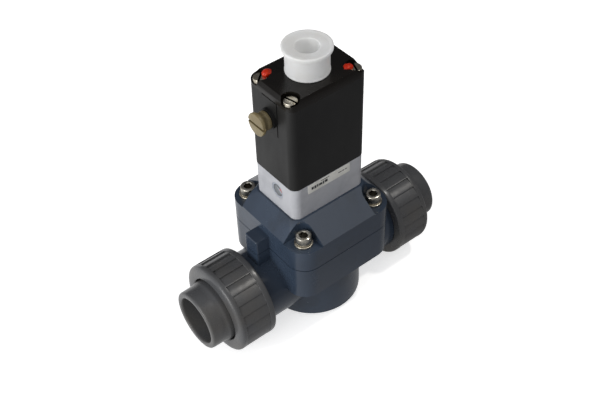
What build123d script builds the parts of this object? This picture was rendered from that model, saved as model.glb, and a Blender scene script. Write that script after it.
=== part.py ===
from build123d import *

import os
from math import cos, radians, sin

# A pilot-operated diaphragm valve for DN 25 pipe, in rigid PVC, with union ends that are
# cemented on to 32 mm pipe. X runs along the pipe, the lettered face looks along -Y, and the
# override knob looks along -X. The origin is under the middle of the valve, on the surface
# that its two union nuts stand on. All sizes are in millimetres.

os.makedirs("parts", exist_ok=True)

# ---- driving dimensions -------------------------------------------------------------------------

# pipe line and unions, from the pipe outwards
bore_r = 12.5  # DN 25 passage
socket_r = 16.1  # cement socket for 32 mm pipe
socket_depth = 22.0
end_bore_r = socket_r - 2.6
end_r = socket_r + 4.3  # outer radius of a union end
end_collar_r = end_r + 0.9
end_collar_l = 6.0
end_flange_r = end_collar_r + 2.3  # the flange that the nut pulls on
end_flange_t = 3.6
thread_r = end_flange_r + 0.3  # G 1 1/2 thread, over its crests
stub_r = thread_r + 0.6  # body stub behind the thread
nut_mouth_r = end_collar_r + 1.0
nut_r = thread_r + 7.1  # outer radius of a union nut
nut_rib_count = 26
nut_rib_depth = 0.95
nut_rib_ramp = 0.86  # share of the pitch that slopes
nut_rim_w = 4.4  # plain rim at each end of the ribs
union_ring_r = bore_r + 5.3  # seal in the stub's face
union_ring_d = 3.2
pipe_axis_z = nut_r  # the nuts stand on z = 0

# body
flange_side = 77.3
flange_corner_r = 13.0
flange_base_z = pipe_axis_z + 9.5
seam_z = pipe_axis_z + 33.7  # body and bonnet meet here
foot_z = pipe_axis_z - 28.2
foot_r = 32.8
foot_waist_r = 31.6
foot_edge_h = 3.0
foot_relief_depth = 2.5
foot_relief_r = 28.0
foot_pad_r = 18.5
foot_insert_spacing = 25.0
foot_thread_r = 2.5  # M6 tapping size
foot_insert_r = foot_thread_r + 1.7
foot_insert_l = 12.0
seat_r = bore_r + 3.0
seat_z = seam_z - 4.0
chamber_r = seat_r + 12.0
chamber_floor_z = pipe_axis_z + bore_r + 4.0
inlet_end_x = -(bore_r + 6.0)  # closed end of the inlet passage
riser_w = 18.0
riser_l = 9.0
riser_x = -(seat_r + 2.0 + riser_l / 2)
seam_step = 0.7  # the bonnet stands in by this much under its edge, so the seam shows
seam_gap = 0.6

# pilot channel block on the inlet side, and the stubs that start beyond it
channel_w = 12.0
channel_face_x = -(flange_side / 2 + 9.95)
channel_top_z = seam_z + 11.3
channel_corner_r = 1.2
channel_edge_r = 0.8
channel_x = channel_face_x + 5.0
channel_r = 1.5
channel_seal_d = 1.5
channel_seal_r = channel_r + 1.1
stub_reach = 23.1  # from the channel block's face to the sealing face
stub_face_x = stub_reach - channel_face_x  # sealing face of each stub
end_face_x = stub_face_x + 23.7  # mouth of each union end
nut_back_x = stub_face_x - 17.9
nut_front_x = stub_face_x + 9.2

# bonnet
rim_z = seam_z + 17.1
roof_z = seam_z + 28.2
roof_margin = 1.4  # ledge around the pilot body
pocket_reach = 7.2  # from a screw to the walls of its pocket
pocket_floor_z = rim_z - 0.8
bonnet_screw_pitch = flange_side - 2 * 10.25
bonnet_screw_r = 3.0
bonnet_screw_head_r = bonnet_screw_r + 2.0
bonnet_screw_head_h = 2 * bonnet_screw_r
bonnet_screw_l = 36.0
bonnet_screw_hex = 5.0
bonnet_washer_r = bonnet_screw_r + 3.0
bonnet_washer_t = 1.6
bonnet_insert_r = bonnet_screw_r + 1.4
bonnet_insert_l = 12.0
bonnet_insert_z = flange_base_z + 5.0
hole_gap = 0.3  # radial play of a screw in its hole

# main diaphragm and what it carries
diaphragm_r = chamber_r + 5.5
diaphragm_clamp_w = 7.0
diaphragm_t = 3.0
diaphragm_web_t = 2.0
disc_r = seat_r + 3.5
disc_drop = 2.4  # underside of the diaphragm's middle, below the plate
plate_r = seat_r + 4.5
plate_t = 3.0
plate_hub_r = 8.0
plate_hub_h = 4.6
seat_disc_r = seat_r + 1.0
centre_screw_r = 2.5
centre_screw_head_r = centre_screw_r + 1.5
centre_screw_head_h = 2.0
centre_screw_hex = 3.0
screw_play = 0.1
cavity_r = plate_r + 1.5
cavity_top_z = seam_z + 12.5
main_spring_r = plate_hub_r + 2.6
main_spring_wire = 1.6
main_spring_turns = 4.5
spring_well_r = main_spring_r + 2.9
spring_well_top_z = seam_z + 21.5

# coil housing
housing_x = 56.6
housing_y = 40.2
housing_h = 60.2
housing_corner_r = 5.2
coil_screw_x = housing_x - 2 * 4.8  # spacing of the long screws
coil_screw_y = housing_y - 2 * 6.1
coil_screw_r = 2.5
coil_screw_head_r = coil_screw_r + 1.75
coil_screw_head_h = 2.9
coil_screw_slot_w = 1.2
coil_screw_slot_d = 1.4
coil_insert_r = coil_screw_r + 1.1
coil_insert_l = 10.0

# plunger and pull rod
plunger_r = 5.4
plunger_gap = 2.3  # air gap under the fixed core at rest
plunger_stem_r = 4.0
plunger_collar_r = plunger_r + 0.9
plunger_collar_t = 1.4
plunger_lift = 2.0
plunger_spring_r = plunger_stem_r + 1.2
plunger_spring_wire = 0.8
plunger_spring_turns = 5.5
rod_r = 1.4
rod_collar_r = 5.4
rod_collar_t = 2.2

# pilot body
pilot_x = housing_x - 2 * 0.6
pilot_y = housing_y + 2 * 0.2
pilot_corner_r = 5.0
pilot_h = 24.1
pilot_base_z = roof_z
pilot_top_z = pilot_base_z + pilot_h
retainer_bore_r = plunger_collar_r + 1.7
retainer_gap = 0.1
pilot_well_r = retainer_bore_r + 5.0
pilot_ledge_z = pilot_base_z + 8.1
pilot_chamber_r = retainer_bore_r + 1.0
pilot_chamber_z = pilot_base_z + 3.1
nozzle_r = 2.6
nozzle_bore_r = 1.2
nozzle_z = pilot_ledge_z - 1.5
pilot_diaphragm_t = 1.5
pilot_web_t = 1.0
passage_x = -(pilot_x / 2 - 3.1)
passage_r = 1.2
passage_rise = 5.0
pilot_seal_rings = ((passage_x, 2.0, 1.0), (0, 4.0, 1.5))  # place in x, ring radius, thickness

# indicator in the pilot body's -X face
indicator_y = -2.9
indicator_z = pilot_base_z + 14.1
window_r = 5.6
window_depth = 3.4
window_inset = 0.4
window_t = 0.9
pane_gap = 0.1
hand_length = 2 * (window_r - 1.1)
hand_tip_l = 1.4
hand_w = 1.9
hand_t = 0.7
hand_tilt = -26.0  # degrees, red end down and towards -Y
needle_shaft_r = 1.0
running_gap = 0.08
crank_reach = 5.1
crank_drop = 1.2
crank_pin_r = 0.6
crank_pin_l = 3.6
crank_half_w = 0.75
crank_t = 1.3

# lid
housing_top_z = pilot_top_z + housing_h
lid_floor_t = 1.8  # lid under the long screws' heads
lid_step_z = housing_top_z + 3.3  # foot of the lid's bevel
lid_top_z = housing_top_z + 6.3
lid_bevel_w = 1.5
lid_pocket_r = coil_screw_head_r + 1.25
lid_gasket_t = 0.8
lid_gasket_w = 2.2
lid_gasket_r = 2.0

# magnet
yoke_x = coil_screw_x - 2 * 5.5
yoke_y = coil_screw_y
yoke_t = 3.0
yoke_h = housing_h - 20.4
coil_gap = 0.2
tube_bore_r = plunger_r + 0.2
tube_r = tube_bore_r + 0.5
tube_h = yoke_h - 11.8
tube_lip_r = plunger_stem_r + 0.7
tube_lip_t = 0.7
bobbin_bore_r = tube_r + 0.2
bobbin_core_r = bobbin_bore_r + 1.0
bobbin_flange_r = min(yoke_x / 2 - yoke_t - 0.6, yoke_y / 2 + 0.4)
bobbin_flange_t = 1.5
winding_r = bobbin_flange_r - 1.2
core_r = tube_bore_r - 0.1
core_bore_r = rod_r + 0.5
core_l = 15.0
core_nut_r = core_r + 2.5
core_nut_t = 2.0
core_stub_l = 0.4
close_gap = 0.1

# manual override
override_z = housing_top_z - 14.3
override_shaft_r = 3.0
override_throw = plunger_lift
override_pin_r = 1.25
override_pin_l = 4.0
override_end_x = -(rod_collar_r + 0.8)
pin_play = 0.6  # between the pin and the rod's collar at rest
bay_y = 2 * (core_nut_r + 1.0)  # clear space above the coil
bay_back_x = override_end_x - 14.8
bay_front_x = 14.0
bay_corner_r = 2.0
knob_face_x = -(housing_x / 2 + 10.2)
knob_r = 7.4
knob_waist_r = override_shaft_r + 2.3
knob_base_r = override_shaft_r + 3.0
knob_socket_x = knob_face_x + 3.0
knob_slot_w = 1.3
knob_slot_d = 1.6
panel_w = 13.3
panel_t = 1.2
panel_gap = 0.8  # over the panel and along its -Y side
panel_base_z = override_z - 10.5
boss_r = 6.6
boss_h = 2.2
bush_r = override_shaft_r + 1.9
shaft_ring_d = 1.4
shaft_ring_l = 2.0

# plug connector on the lid and the cap over it
collar_bore_r = 9.0
collar_r = 11.5
collar_h = 13.5
insert_t = 2.5
contact_count = 3
contact_pitch_r = 4.5
contact_r = 1.0
contact_h = 2.0
contact_tail_l = 2.0
lead_gap = 1.0
cap_wall = 1.3
cap_r = collar_r + 0.35 + cap_wall
cap_brim_r = cap_r + 1.95
cap_brim_t = 2.2
cap_h = 17.3
cap_bead_h = 1.0
cap_bead_w = 0.25
cap_well_r = 7.3
cap_well_depth = 10.5
cap_dish = 0.9
body_gap = 0.3  # between pieces that move apart

# label and seals
label_x = 33.0
label_z = 6.6
label_t = 0.25
label_centre_x = -1.2
label_margin = 0.3
seal_size = 3.1
seal_turn = 20.0
seal_rise = 1.5
seal_offset = 4.6  # from a screw's middle inwards

# ---- places worked out from the dimensions above ------------------------------------------------

screw_seat_z = pocket_floor_z + bonnet_washer_t
lid_pocket_z = housing_top_z + lid_floor_t
plate_base_z = seam_z + diaphragm_t / 2 + 0.2
yoke_top_z = pilot_top_z + yoke_h
bay_base_z = yoke_top_z + coil_gap
core_base_z = yoke_top_z - yoke_t - core_l
plunger_top_z = core_base_z - plunger_gap
plunger_base_z = pilot_ledge_z + 3.8
collar_base_z = indicator_z
rod_collar_z = override_z + override_pin_r + pin_play
shaft_clear_r = override_shaft_r + running_gap
channel_turn_z = seam_z + 8.0
gasket_hole_x = bay_front_x - bay_back_x + 1.0
gasket_hole_y = bay_y + 1.0
gasket_x = gasket_hole_x + 2 * lid_gasket_w
gasket_y = gasket_hole_y + 2 * lid_gasket_w
gasket_r = lid_gasket_r + lid_gasket_w

bonnet_screw_places = GridLocations(bonnet_screw_pitch, bonnet_screw_pitch, 2, 2)
coil_screw_places = GridLocations(coil_screw_x, coil_screw_y, 2, 2)


def pipe_plane(x):
    """A plane across the pipe at x, with its origin on the pipe's axis."""
    return Plane(origin=(x, 0, pipe_axis_z), x_dir=(0, 1, 0), z_dir=(1, 0, 0))


def override_plane(x):
    """A plane across the override shaft at x, with its origin on the shaft's axis."""
    return Plane(origin=(x, 0, override_z), x_dir=(0, 1, 0), z_dir=(1, 0, 0))


def needle_plane(x):
    """A plane across the indicator's shaft at x, with its origin on the shaft's axis."""
    return Plane(origin=(x, indicator_y, indicator_z), x_dir=(0, 1, 0), z_dir=(1, 0, 0))


def save(piece, name):
    """Label a finished piece and write it."""
    piece.part.label = name
    export_step(piece.part, f"parts/{name}.step")


# ---- valve body: foot, pipe stubs, square flange and seat ---------------------------------------

with BuildPart() as valve_body:
    with BuildSketch(Plane.XY.offset(flange_base_z)):
        RectangleRounded(flange_side, flange_side, flange_corner_r)
    extrude(amount=seam_z - flange_base_z)
    # the foot is a drum that flares a little towards the floor
    with BuildSketch(Plane.XZ) as foot_profile:
        with BuildLine():
            Polyline(
                (0, flange_base_z + 1),
                (0, foot_z),
                (foot_r - 0.8, foot_z),
                (foot_r, foot_z + 0.8),
                (foot_r, foot_z + foot_edge_h),
            )
            Spline(
                (foot_r, foot_z + foot_edge_h),
                (foot_waist_r, flange_base_z),
                tangents=((0, 1), (0, 1)),
                tangent_scalars=(0.7, 0.7),
            )
            Polyline(
                (foot_waist_r, flange_base_z),
                (foot_waist_r, flange_base_z + 1),
                (0, flange_base_z + 1),
            )
        make_face()
    revolve(axis=Axis.Z)
    # pipe stubs, plain behind and threaded in front
    with BuildSketch(pipe_plane(-nut_back_x + body_gap)):
        Circle(stub_r)
    extrude(amount=2 * (nut_back_x - body_gap))
    with BuildSketch(pipe_plane(-stub_face_x)):
        Circle(thread_r)
    extrude(amount=2 * stub_face_x)
    # lower half of the pilot channel block
    with BuildSketch(Plane.XY.offset(pipe_axis_z)) as lower_channel:
        with Locations((channel_face_x / 2, 0)):
            Rectangle(-channel_face_x, channel_w)
        fillet(lower_channel.vertices().group_by(Axis.X)[0], channel_corner_r)
    extrude(amount=seam_z - pipe_axis_z)
    # passages: in from -X, up into the ring around the seat, down through the seat, out to +X
    with BuildSketch(pipe_plane(-stub_face_x)):
        Circle(bore_r)
    extrude(amount=inlet_end_x + stub_face_x, mode=Mode.SUBTRACT)
    with BuildSketch(pipe_plane(0)):
        Circle(bore_r)
    extrude(amount=stub_face_x, mode=Mode.SUBTRACT)
    with BuildSketch(Plane.XY.offset(chamber_floor_z)):
        Circle(chamber_r)
        Circle(seat_r, mode=Mode.SUBTRACT)
    extrude(amount=seam_z - chamber_floor_z, mode=Mode.SUBTRACT)
    with BuildSketch(Plane.XY.offset(seat_z)):
        Circle(chamber_r)
    extrude(amount=seam_z - seat_z, mode=Mode.SUBTRACT)
    with BuildSketch(Plane.XY.offset(pipe_axis_z)):
        with Locations((riser_x, 0)):
            RectangleRounded(riser_l, riser_w, 2.0)
    extrude(amount=chamber_floor_z + 1 - pipe_axis_z, mode=Mode.SUBTRACT)
    with BuildSketch(Plane.XY.offset(pipe_axis_z)):
        Circle(bore_r)
    extrude(amount=seat_z - pipe_axis_z, mode=Mode.SUBTRACT)
    # seat for the diaphragm's clamped rim
    with BuildSketch(Plane.XY.offset(seam_z - diaphragm_t / 2)):
        Circle(diaphragm_r)
    extrude(amount=diaphragm_t / 2, mode=Mode.SUBTRACT)
    # bonnet screw holes and the pockets of their inserts
    with BuildSketch(Plane.XY.offset(screw_seat_z - bonnet_screw_l - 2)):
        with bonnet_screw_places:
            Circle(bonnet_screw_r + hole_gap)
    extrude(amount=bonnet_screw_l, mode=Mode.SUBTRACT)
    with BuildSketch(Plane.XY.offset(bonnet_insert_z)):
        with bonnet_screw_places:
            Circle(bonnet_insert_r)
    extrude(amount=bonnet_insert_l, mode=Mode.SUBTRACT)
    # pilot channel from the inlet up to the seam, with the groove of its seal
    with BuildSketch(Plane.XY.offset(pipe_axis_z + bore_r - 1)):
        with Locations((channel_x, 0)):
            Circle(channel_r)
    extrude(amount=seam_z, mode=Mode.SUBTRACT)
    with BuildSketch(Plane.XY.offset(seam_z - channel_seal_d)):
        with Locations((channel_x, 0)):
            Circle(channel_seal_r + channel_seal_d / 2)
    extrude(amount=channel_seal_d, mode=Mode.SUBTRACT)
    # face seal grooves in both stubs
    for face_x, inward in ((-stub_face_x, 1), (stub_face_x, -1)):
        with BuildSketch(pipe_plane(face_x)):
            Circle(union_ring_r + union_ring_d / 2)
            Circle(union_ring_r - union_ring_d / 2, mode=Mode.SUBTRACT)
        extrude(amount=inward * union_ring_d * 0.9, mode=Mode.SUBTRACT)
    # foot: moulded relief and two insert pockets
    with BuildSketch(Plane.XY.offset(foot_z)):
        Circle(foot_relief_r)
        Circle(foot_pad_r, mode=Mode.SUBTRACT)
    extrude(amount=foot_relief_depth, mode=Mode.SUBTRACT)
    with BuildSketch(Plane.XY.offset(foot_z)):
        with GridLocations(foot_insert_spacing, 1, 2, 1):
            Circle(foot_insert_r)
    extrude(amount=foot_insert_l, mode=Mode.SUBTRACT)
save(valve_body, "valve_body")

with BuildPart() as foot_inserts:
    with BuildSketch(Plane.XY.offset(foot_z)):
        with GridLocations(foot_insert_spacing, 1, 2, 1):
            Circle(foot_insert_r)
            Circle(foot_thread_r, mode=Mode.SUBTRACT)
    extrude(amount=foot_insert_l)
save(foot_inserts, "foot_inserts")

with BuildPart() as bonnet_inserts:
    with BuildSketch(Plane.XY.offset(bonnet_insert_z)):
        with bonnet_screw_places:
            Circle(bonnet_insert_r)
            Circle(bonnet_screw_r, mode=Mode.SUBTRACT)
    extrude(amount=bonnet_insert_l)
save(bonnet_inserts, "bonnet_inserts")

with BuildPart() as channel_seal:
    with BuildSketch(Plane.XZ):
        with Locations((channel_x + channel_seal_r, seam_z - channel_seal_d / 2)):
            Circle(channel_seal_d / 2)
    revolve(axis=Axis((channel_x, 0, 0), (0, 0, 1)))
save(channel_seal, "channel_seal")

# ---- union ends, nuts and face seals ------------------------------------------------------------


def build_union(side, tag):
    """The loose pieces of one union; side is -1 at the inlet and 1 at the outlet."""
    flange_x = stub_face_x + body_gap
    lip_x = flange_x + end_flange_t + body_gap
    pipe_line = Axis((0, 0, pipe_axis_z), (1, 0, 0))
    profile_plane = Plane(origin=(0, 0, pipe_axis_z), x_dir=(side, 0, 0), z_dir=(0, -side, 0))

    with BuildPart() as union_end:
        with BuildSketch(profile_plane):
            with BuildLine():
                Polyline(
                    (flange_x, end_bore_r),
                    (flange_x, end_flange_r),
                    (flange_x + end_flange_t, end_flange_r),
                    (flange_x + end_flange_t, end_collar_r),
                    (lip_x + end_collar_l + 1.4, end_collar_r),
                    (lip_x + end_collar_l + 2.4, end_r),
                    (end_face_x - 1.0, end_r),
                    (end_face_x, end_r - 1.0),
                    (end_face_x, socket_r + 0.8),
                    (end_face_x - 0.8, socket_r),
                    (end_face_x - socket_depth, socket_r),
                    (end_face_x - socket_depth, end_bore_r),
                    close=True,
                )
            make_face()
        revolve(axis=pipe_line)
    save(union_end, f"union_end_{tag}")

    with BuildPart() as union_nut:
        with BuildSketch(profile_plane):
            with BuildLine():
                Polyline(
                    (nut_back_x, thread_r + body_gap),
                    (nut_back_x, nut_r - 1.6),
                    (nut_back_x + 1.6, nut_r),
                    (nut_front_x - 3.0, nut_r),
                    (nut_front_x - 0.9, nut_r - 1.2),
                    (nut_front_x, nut_r - 3.4),
                    (nut_front_x, nut_mouth_r + 1.6),
                    (nut_front_x - 1.6, nut_mouth_r),
                    (lip_x, nut_mouth_r),
                    (lip_x, thread_r + body_gap),
                    close=True,
                )
            make_face()
        revolve(axis=pipe_line)
        # grip ribs: shallow saw teeth between two plain rims
        pitch = 360 / nut_rib_count
        rib_length = nut_front_x - nut_back_x - 2 * nut_rim_w
        start_x = side * (nut_back_x + nut_rim_w)
        ramp = radians(pitch * nut_rib_ramp)
        with BuildSketch(pipe_plane(start_x)):
            with PolarLocations(0, nut_rib_count):
                Polygon(
                    (nut_r + 1.0, 0),
                    (nut_r - nut_rib_depth, 0),
                    ((nut_r - 0.05) * cos(ramp), (nut_r - 0.05) * sin(ramp)),
                    ((nut_r + 1.0) * cos(ramp), (nut_r + 1.0) * sin(ramp)),
                    align=None,
                )
        extrude(amount=side * rib_length, mode=Mode.SUBTRACT)
    save(union_nut, f"union_nut_{tag}")

    with BuildPart() as union_seal:
        ring_t = union_ring_d * 0.86
        with BuildSketch(profile_plane):
            with Locations((stub_face_x - ring_t / 2 - 0.1, union_ring_r)):
                RectangleRounded(ring_t, ring_t, ring_t * 0.4)
        revolve(axis=pipe_line)
    save(union_seal, f"union_seal_{tag}")


build_union(-1, "inlet")
build_union(1, "outlet")

# ---- bonnet -------------------------------------------------------------------------------------

with BuildPart() as bonnet:
    with BuildSketch(Plane.XY.offset(seam_z)):
        foot_side = flange_side - 2 * seam_step
        RectangleRounded(foot_side, foot_side, flange_corner_r - seam_step)
    extrude(amount=seam_gap)
    with BuildSketch(Plane.XY.offset(seam_z + seam_gap)):
        RectangleRounded(flange_side, flange_side, flange_corner_r)
    extrude(amount=rim_z - seam_z - seam_gap)
    # hipped roof up to the ledge that the pilot body stands on
    with BuildSketch(Plane.XY.offset(rim_z)):
        RectangleRounded(flange_side, flange_side, flange_corner_r)
    with BuildSketch(Plane.XY.offset(roof_z)):
        RectangleRounded(
            pilot_x + 2 * roof_margin, pilot_y + 2 * roof_margin, pilot_corner_r + roof_margin
        )
    loft()
    # upper half of the pilot channel block, with the same step at the seam
    with BuildSketch(Plane.XY.offset(seam_z)):
        with Locations(((channel_face_x + seam_step) / 2, 0)):
            Rectangle(-channel_face_x - seam_step, channel_w - 2 * seam_step)
    extrude(amount=seam_gap)
    with BuildSketch(Plane.XY.offset(seam_z + seam_gap)) as upper_channel:
        with Locations((channel_face_x / 2, 0)):
            Rectangle(-channel_face_x, channel_w)
        fillet(upper_channel.vertices().group_by(Axis.X)[0], channel_corner_r)
    extrude(amount=channel_top_z - seam_z - seam_gap)
    block_top = bonnet.edges().filter_by_position(Axis.Z, channel_top_z, channel_top_z)
    block_top = block_top.filter_by_position(Axis.X, channel_face_x, -flange_side / 2 - channel_edge_r)
    fillet(block_top, channel_edge_r)
    # square pockets with a round inner corner, open towards the bonnet's corners
    with BuildSketch(Plane.XY.offset(pocket_floor_z)):
        for sx in (-1, 1):
            for sy in (-1, 1):
                with Locations((sx * flange_side / 2, sy * flange_side / 2)):
                    reach = 2 * (flange_side / 2 - bonnet_screw_pitch / 2 + pocket_reach)
                    RectangleRounded(reach, reach, pocket_reach - 0.2)
    extrude(amount=roof_z, mode=Mode.SUBTRACT)
    with BuildSketch(Plane.XY.offset(seam_z)):
        with bonnet_screw_places:
            Circle(bonnet_screw_r + hole_gap)
    extrude(amount=rim_z, mode=Mode.SUBTRACT)
    # diaphragm seat, control chamber and spring well
    with BuildSketch(Plane.XY.offset(seam_z)):
        Circle(diaphragm_r)
    extrude(amount=diaphragm_t / 2, mode=Mode.SUBTRACT)
    with BuildSketch(Plane.XY.offset(seam_z)):
        Circle(cavity_r)
    extrude(amount=cavity_top_z - seam_z, mode=Mode.SUBTRACT)
    with BuildSketch(Plane.XY.offset(seam_z)):
        Circle(spring_well_r)
    extrude(amount=spring_well_top_z - seam_z, mode=Mode.SUBTRACT)
    # pilot channel: up from the seam, inwards, and up again to the pilot body
    with BuildSketch(Plane.XY.offset(seam_z)):
        with Locations((channel_x, 0)):
            Circle(channel_r)
    extrude(amount=channel_turn_z - seam_z, mode=Mode.SUBTRACT)
    with BuildSketch(Plane(origin=(channel_x - channel_r, 0, channel_turn_z), z_dir=(1, 0, 0))):
        Circle(channel_r)
    extrude(amount=passage_x - channel_x + channel_r, mode=Mode.SUBTRACT)
    with BuildSketch(Plane.XY.offset(channel_turn_z)):
        with Locations((passage_x, 0)):
            Circle(passage_r)
    extrude(amount=roof_z, mode=Mode.SUBTRACT)
    # relief passage from the control chamber to the nozzle
    with BuildSketch(Plane.XY.offset(seam_z)):
        Circle(nozzle_bore_r)
    extrude(amount=roof_z, mode=Mode.SUBTRACT)
    # pockets of the long screws' inserts
    with BuildSketch(Plane.XY.offset(roof_z - coil_insert_l)):
        with coil_screw_places:
            Circle(coil_insert_r)
    extrude(amount=coil_insert_l + 1, mode=Mode.SUBTRACT)
save(bonnet, "bonnet")

with BuildPart() as bonnet_washers:
    with BuildSketch(Plane.XY.offset(pocket_floor_z)):
        with bonnet_screw_places:
            Circle(bonnet_washer_r)
            Circle(bonnet_screw_r + hole_gap, mode=Mode.SUBTRACT)
    extrude(amount=bonnet_washer_t)
save(bonnet_washers, "bonnet_washers")

with BuildPart() as bonnet_screws:
    with BuildSketch(Plane.XY.offset(screw_seat_z)):
        with bonnet_screw_places:
            Circle(bonnet_screw_head_r)
    extrude(amount=bonnet_screw_head_h)
    chamfer(bonnet_screws.faces().sort_by(Axis.Z)[-4:].edges(), 0.5)
    with BuildSketch(Plane.XY.offset(screw_seat_z - bonnet_screw_l)):
        with bonnet_screw_places:
            Circle(bonnet_screw_r)
    extrude(amount=bonnet_screw_l)
    with BuildSketch(Plane.XY.offset(screw_seat_z + bonnet_screw_head_h)):
        with bonnet_screw_places:
            RegularPolygon(bonnet_screw_hex / 2, 6, major_radius=False)
    extrude(amount=-bonnet_screw_head_h / 2, mode=Mode.SUBTRACT)
save(bonnet_screws, "bonnet_screws")

with BuildPart() as coil_screw_inserts:
    with BuildSketch(Plane.XY.offset(roof_z - coil_insert_l)):
        with coil_screw_places:
            Circle(coil_insert_r)
            Circle(coil_screw_r, mode=Mode.SUBTRACT)
    extrude(amount=coil_insert_l)
save(coil_screw_inserts, "coil_screw_inserts")

# ---- main diaphragm, its plate, seat disc, screw and spring -------------------------------------

disc_base_z = plate_base_z - disc_drop

with BuildPart() as main_diaphragm:
    with BuildSketch(Plane.XZ):
        with BuildLine():
            Polyline(
                (centre_screw_r + screw_play, disc_base_z),
                (disc_r, disc_base_z),
                (diaphragm_r - diaphragm_clamp_w, seam_z - diaphragm_web_t / 2),
                (diaphragm_r - diaphragm_clamp_w, seam_z - diaphragm_t / 2),
                (diaphragm_r, seam_z - diaphragm_t / 2),
                (diaphragm_r, seam_z + diaphragm_t / 2),
                (diaphragm_r - diaphragm_clamp_w, seam_z + diaphragm_t / 2),
                (diaphragm_r - diaphragm_clamp_w, seam_z + diaphragm_web_t / 2),
                (cavity_r, seam_z + diaphragm_web_t / 2),
                (plate_r, plate_base_z),
                (centre_screw_r + screw_play, plate_base_z),
                close=True,
            )
        make_face()
    revolve(axis=Axis.Z)
save(main_diaphragm, "main_diaphragm")

with BuildPart() as diaphragm_plate:
    with BuildSketch(Plane.XY.offset(plate_base_z)):
        Circle(plate_r)
    extrude(amount=plate_t)
    fillet(diaphragm_plate.edges().group_by(Axis.Z)[-1], 0.8)
    with BuildSketch(Plane.XY.offset(plate_base_z + plate_t)):
        Circle(plate_hub_r)
    extrude(amount=plate_hub_h)
    with BuildSketch(Plane.XY.offset(plate_base_z)):
        Circle(centre_screw_r + screw_play)
    extrude(amount=plate_t + plate_hub_h - 1.5, mode=Mode.SUBTRACT)
save(diaphragm_plate, "diaphragm_plate")

with BuildPart() as seat_disc:
    with BuildSketch(Plane.XY.offset(seat_z)):
        Circle(seat_disc_r)
        Circle(centre_screw_head_r + 2 * screw_play, mode=Mode.SUBTRACT)
    extrude(amount=disc_base_z - seat_z)
    with BuildSketch(Plane.XY.offset(seat_z + centre_screw_head_h)):
        Circle(centre_screw_head_r + 2 * screw_play)
        Circle(centre_screw_r + screw_play, mode=Mode.SUBTRACT)
    extrude(amount=disc_base_z - seat_z - centre_screw_head_h)
save(seat_disc, "seat_disc")

with BuildPart() as centre_screw:
    with BuildSketch(Plane.XY.offset(seat_z)):
        Circle(centre_screw_head_r)
    extrude(amount=centre_screw_head_h)
    with BuildSketch(Plane.XY.offset(seat_z)):
        Circle(centre_screw_r)
    extrude(amount=plate_base_z + plate_t + 1.0 - seat_z)
    with BuildSketch(Plane.XY.offset(seat_z)):
        RegularPolygon(centre_screw_hex / 2, 6, major_radius=False)
    extrude(amount=centre_screw_head_h * 0.7, mode=Mode.SUBTRACT)
save(centre_screw, "centre_screw")


def coil_spring(radius, wire, low, high, turns):
    """A round-wire compression spring that stands between two levels."""
    rise = high - low - wire - 0.1
    with BuildPart() as spring:
        with BuildLine(Plane.XY.offset(low + wire / 2 + 0.05)):
            turn_line = Helix(pitch=rise / turns, height=rise, radius=radius)
        with BuildSketch(Plane(origin=turn_line @ 0, z_dir=turn_line % 0)):
            Circle(wire / 2)
        sweep(path=turn_line, is_frenet=True)
    return spring


main_spring = coil_spring(
    main_spring_r, main_spring_wire, plate_base_z + plate_t, spring_well_top_z, main_spring_turns
)
save(main_spring, "main_spring")

# ---- pilot body with the isolating diaphragm ----------------------------------------------------

with BuildPart() as pilot_body:
    with BuildSketch(Plane.XY.offset(pilot_base_z)):
        RectangleRounded(pilot_x, pilot_y, pilot_corner_r)
    extrude(amount=pilot_h)
    with BuildSketch(Plane.XY.offset(pilot_ledge_z)):
        Circle(pilot_well_r)
    extrude(amount=pilot_h, mode=Mode.SUBTRACT)
    with BuildSketch(Plane.XY.offset(pilot_chamber_z)):
        Circle(pilot_chamber_r)
        Circle(nozzle_r, mode=Mode.SUBTRACT)
    extrude(amount=pilot_ledge_z - pilot_chamber_z, mode=Mode.SUBTRACT)
    with BuildSketch(Plane.XY.offset(nozzle_z)):
        Circle(nozzle_r)
    extrude(amount=pilot_ledge_z - nozzle_z, mode=Mode.SUBTRACT)
    with BuildSketch(Plane.XY.offset(pilot_base_z)):
        Circle(nozzle_bore_r)
    extrude(amount=nozzle_z - pilot_base_z, mode=Mode.SUBTRACT)
    for seal_x, ring_r, ring_d in pilot_seal_rings:
        with BuildSketch(Plane.XY.offset(pilot_base_z)):
            with Locations((seal_x, 0)):
                Circle(ring_r + ring_d / 2)
        extrude(amount=ring_d, mode=Mode.SUBTRACT)
    # side passage from the channel into the chamber
    with BuildSketch(Plane.XY.offset(pilot_base_z)):
        with Locations((passage_x, 0)):
            Circle(passage_r)
    extrude(amount=passage_rise, mode=Mode.SUBTRACT)
    with BuildSketch(Plane(origin=(passage_x, 0, pilot_base_z + passage_rise), z_dir=(1, 0, 0))):
        Circle(passage_r * 0.8)
    extrude(amount=-passage_x - pilot_chamber_r + 1, mode=Mode.SUBTRACT)
    with BuildSketch(Plane.XY.offset(pilot_base_z)):
        with coil_screw_places:
            Circle(coil_screw_r + hole_gap)
    extrude(amount=pilot_h, mode=Mode.SUBTRACT)
    # round indicator recess and the hole of its shaft
    with BuildSketch(needle_plane(-pilot_x / 2)):
        Circle(window_r)
    extrude(amount=window_depth, mode=Mode.SUBTRACT)
    with BuildSketch(needle_plane(-pilot_x / 2)):
        Circle(needle_shaft_r + running_gap)
    extrude(amount=pilot_x / 2 - pilot_well_r + 1, mode=Mode.SUBTRACT)
save(pilot_body, "pilot_body")

retainer_base_z = pilot_ledge_z + pilot_diaphragm_t
retainer_top_z = pilot_top_z - 0.1
shaft_end_x = -(plunger_collar_r + 2.9)
crank_x = shaft_end_x + crank_t

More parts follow.
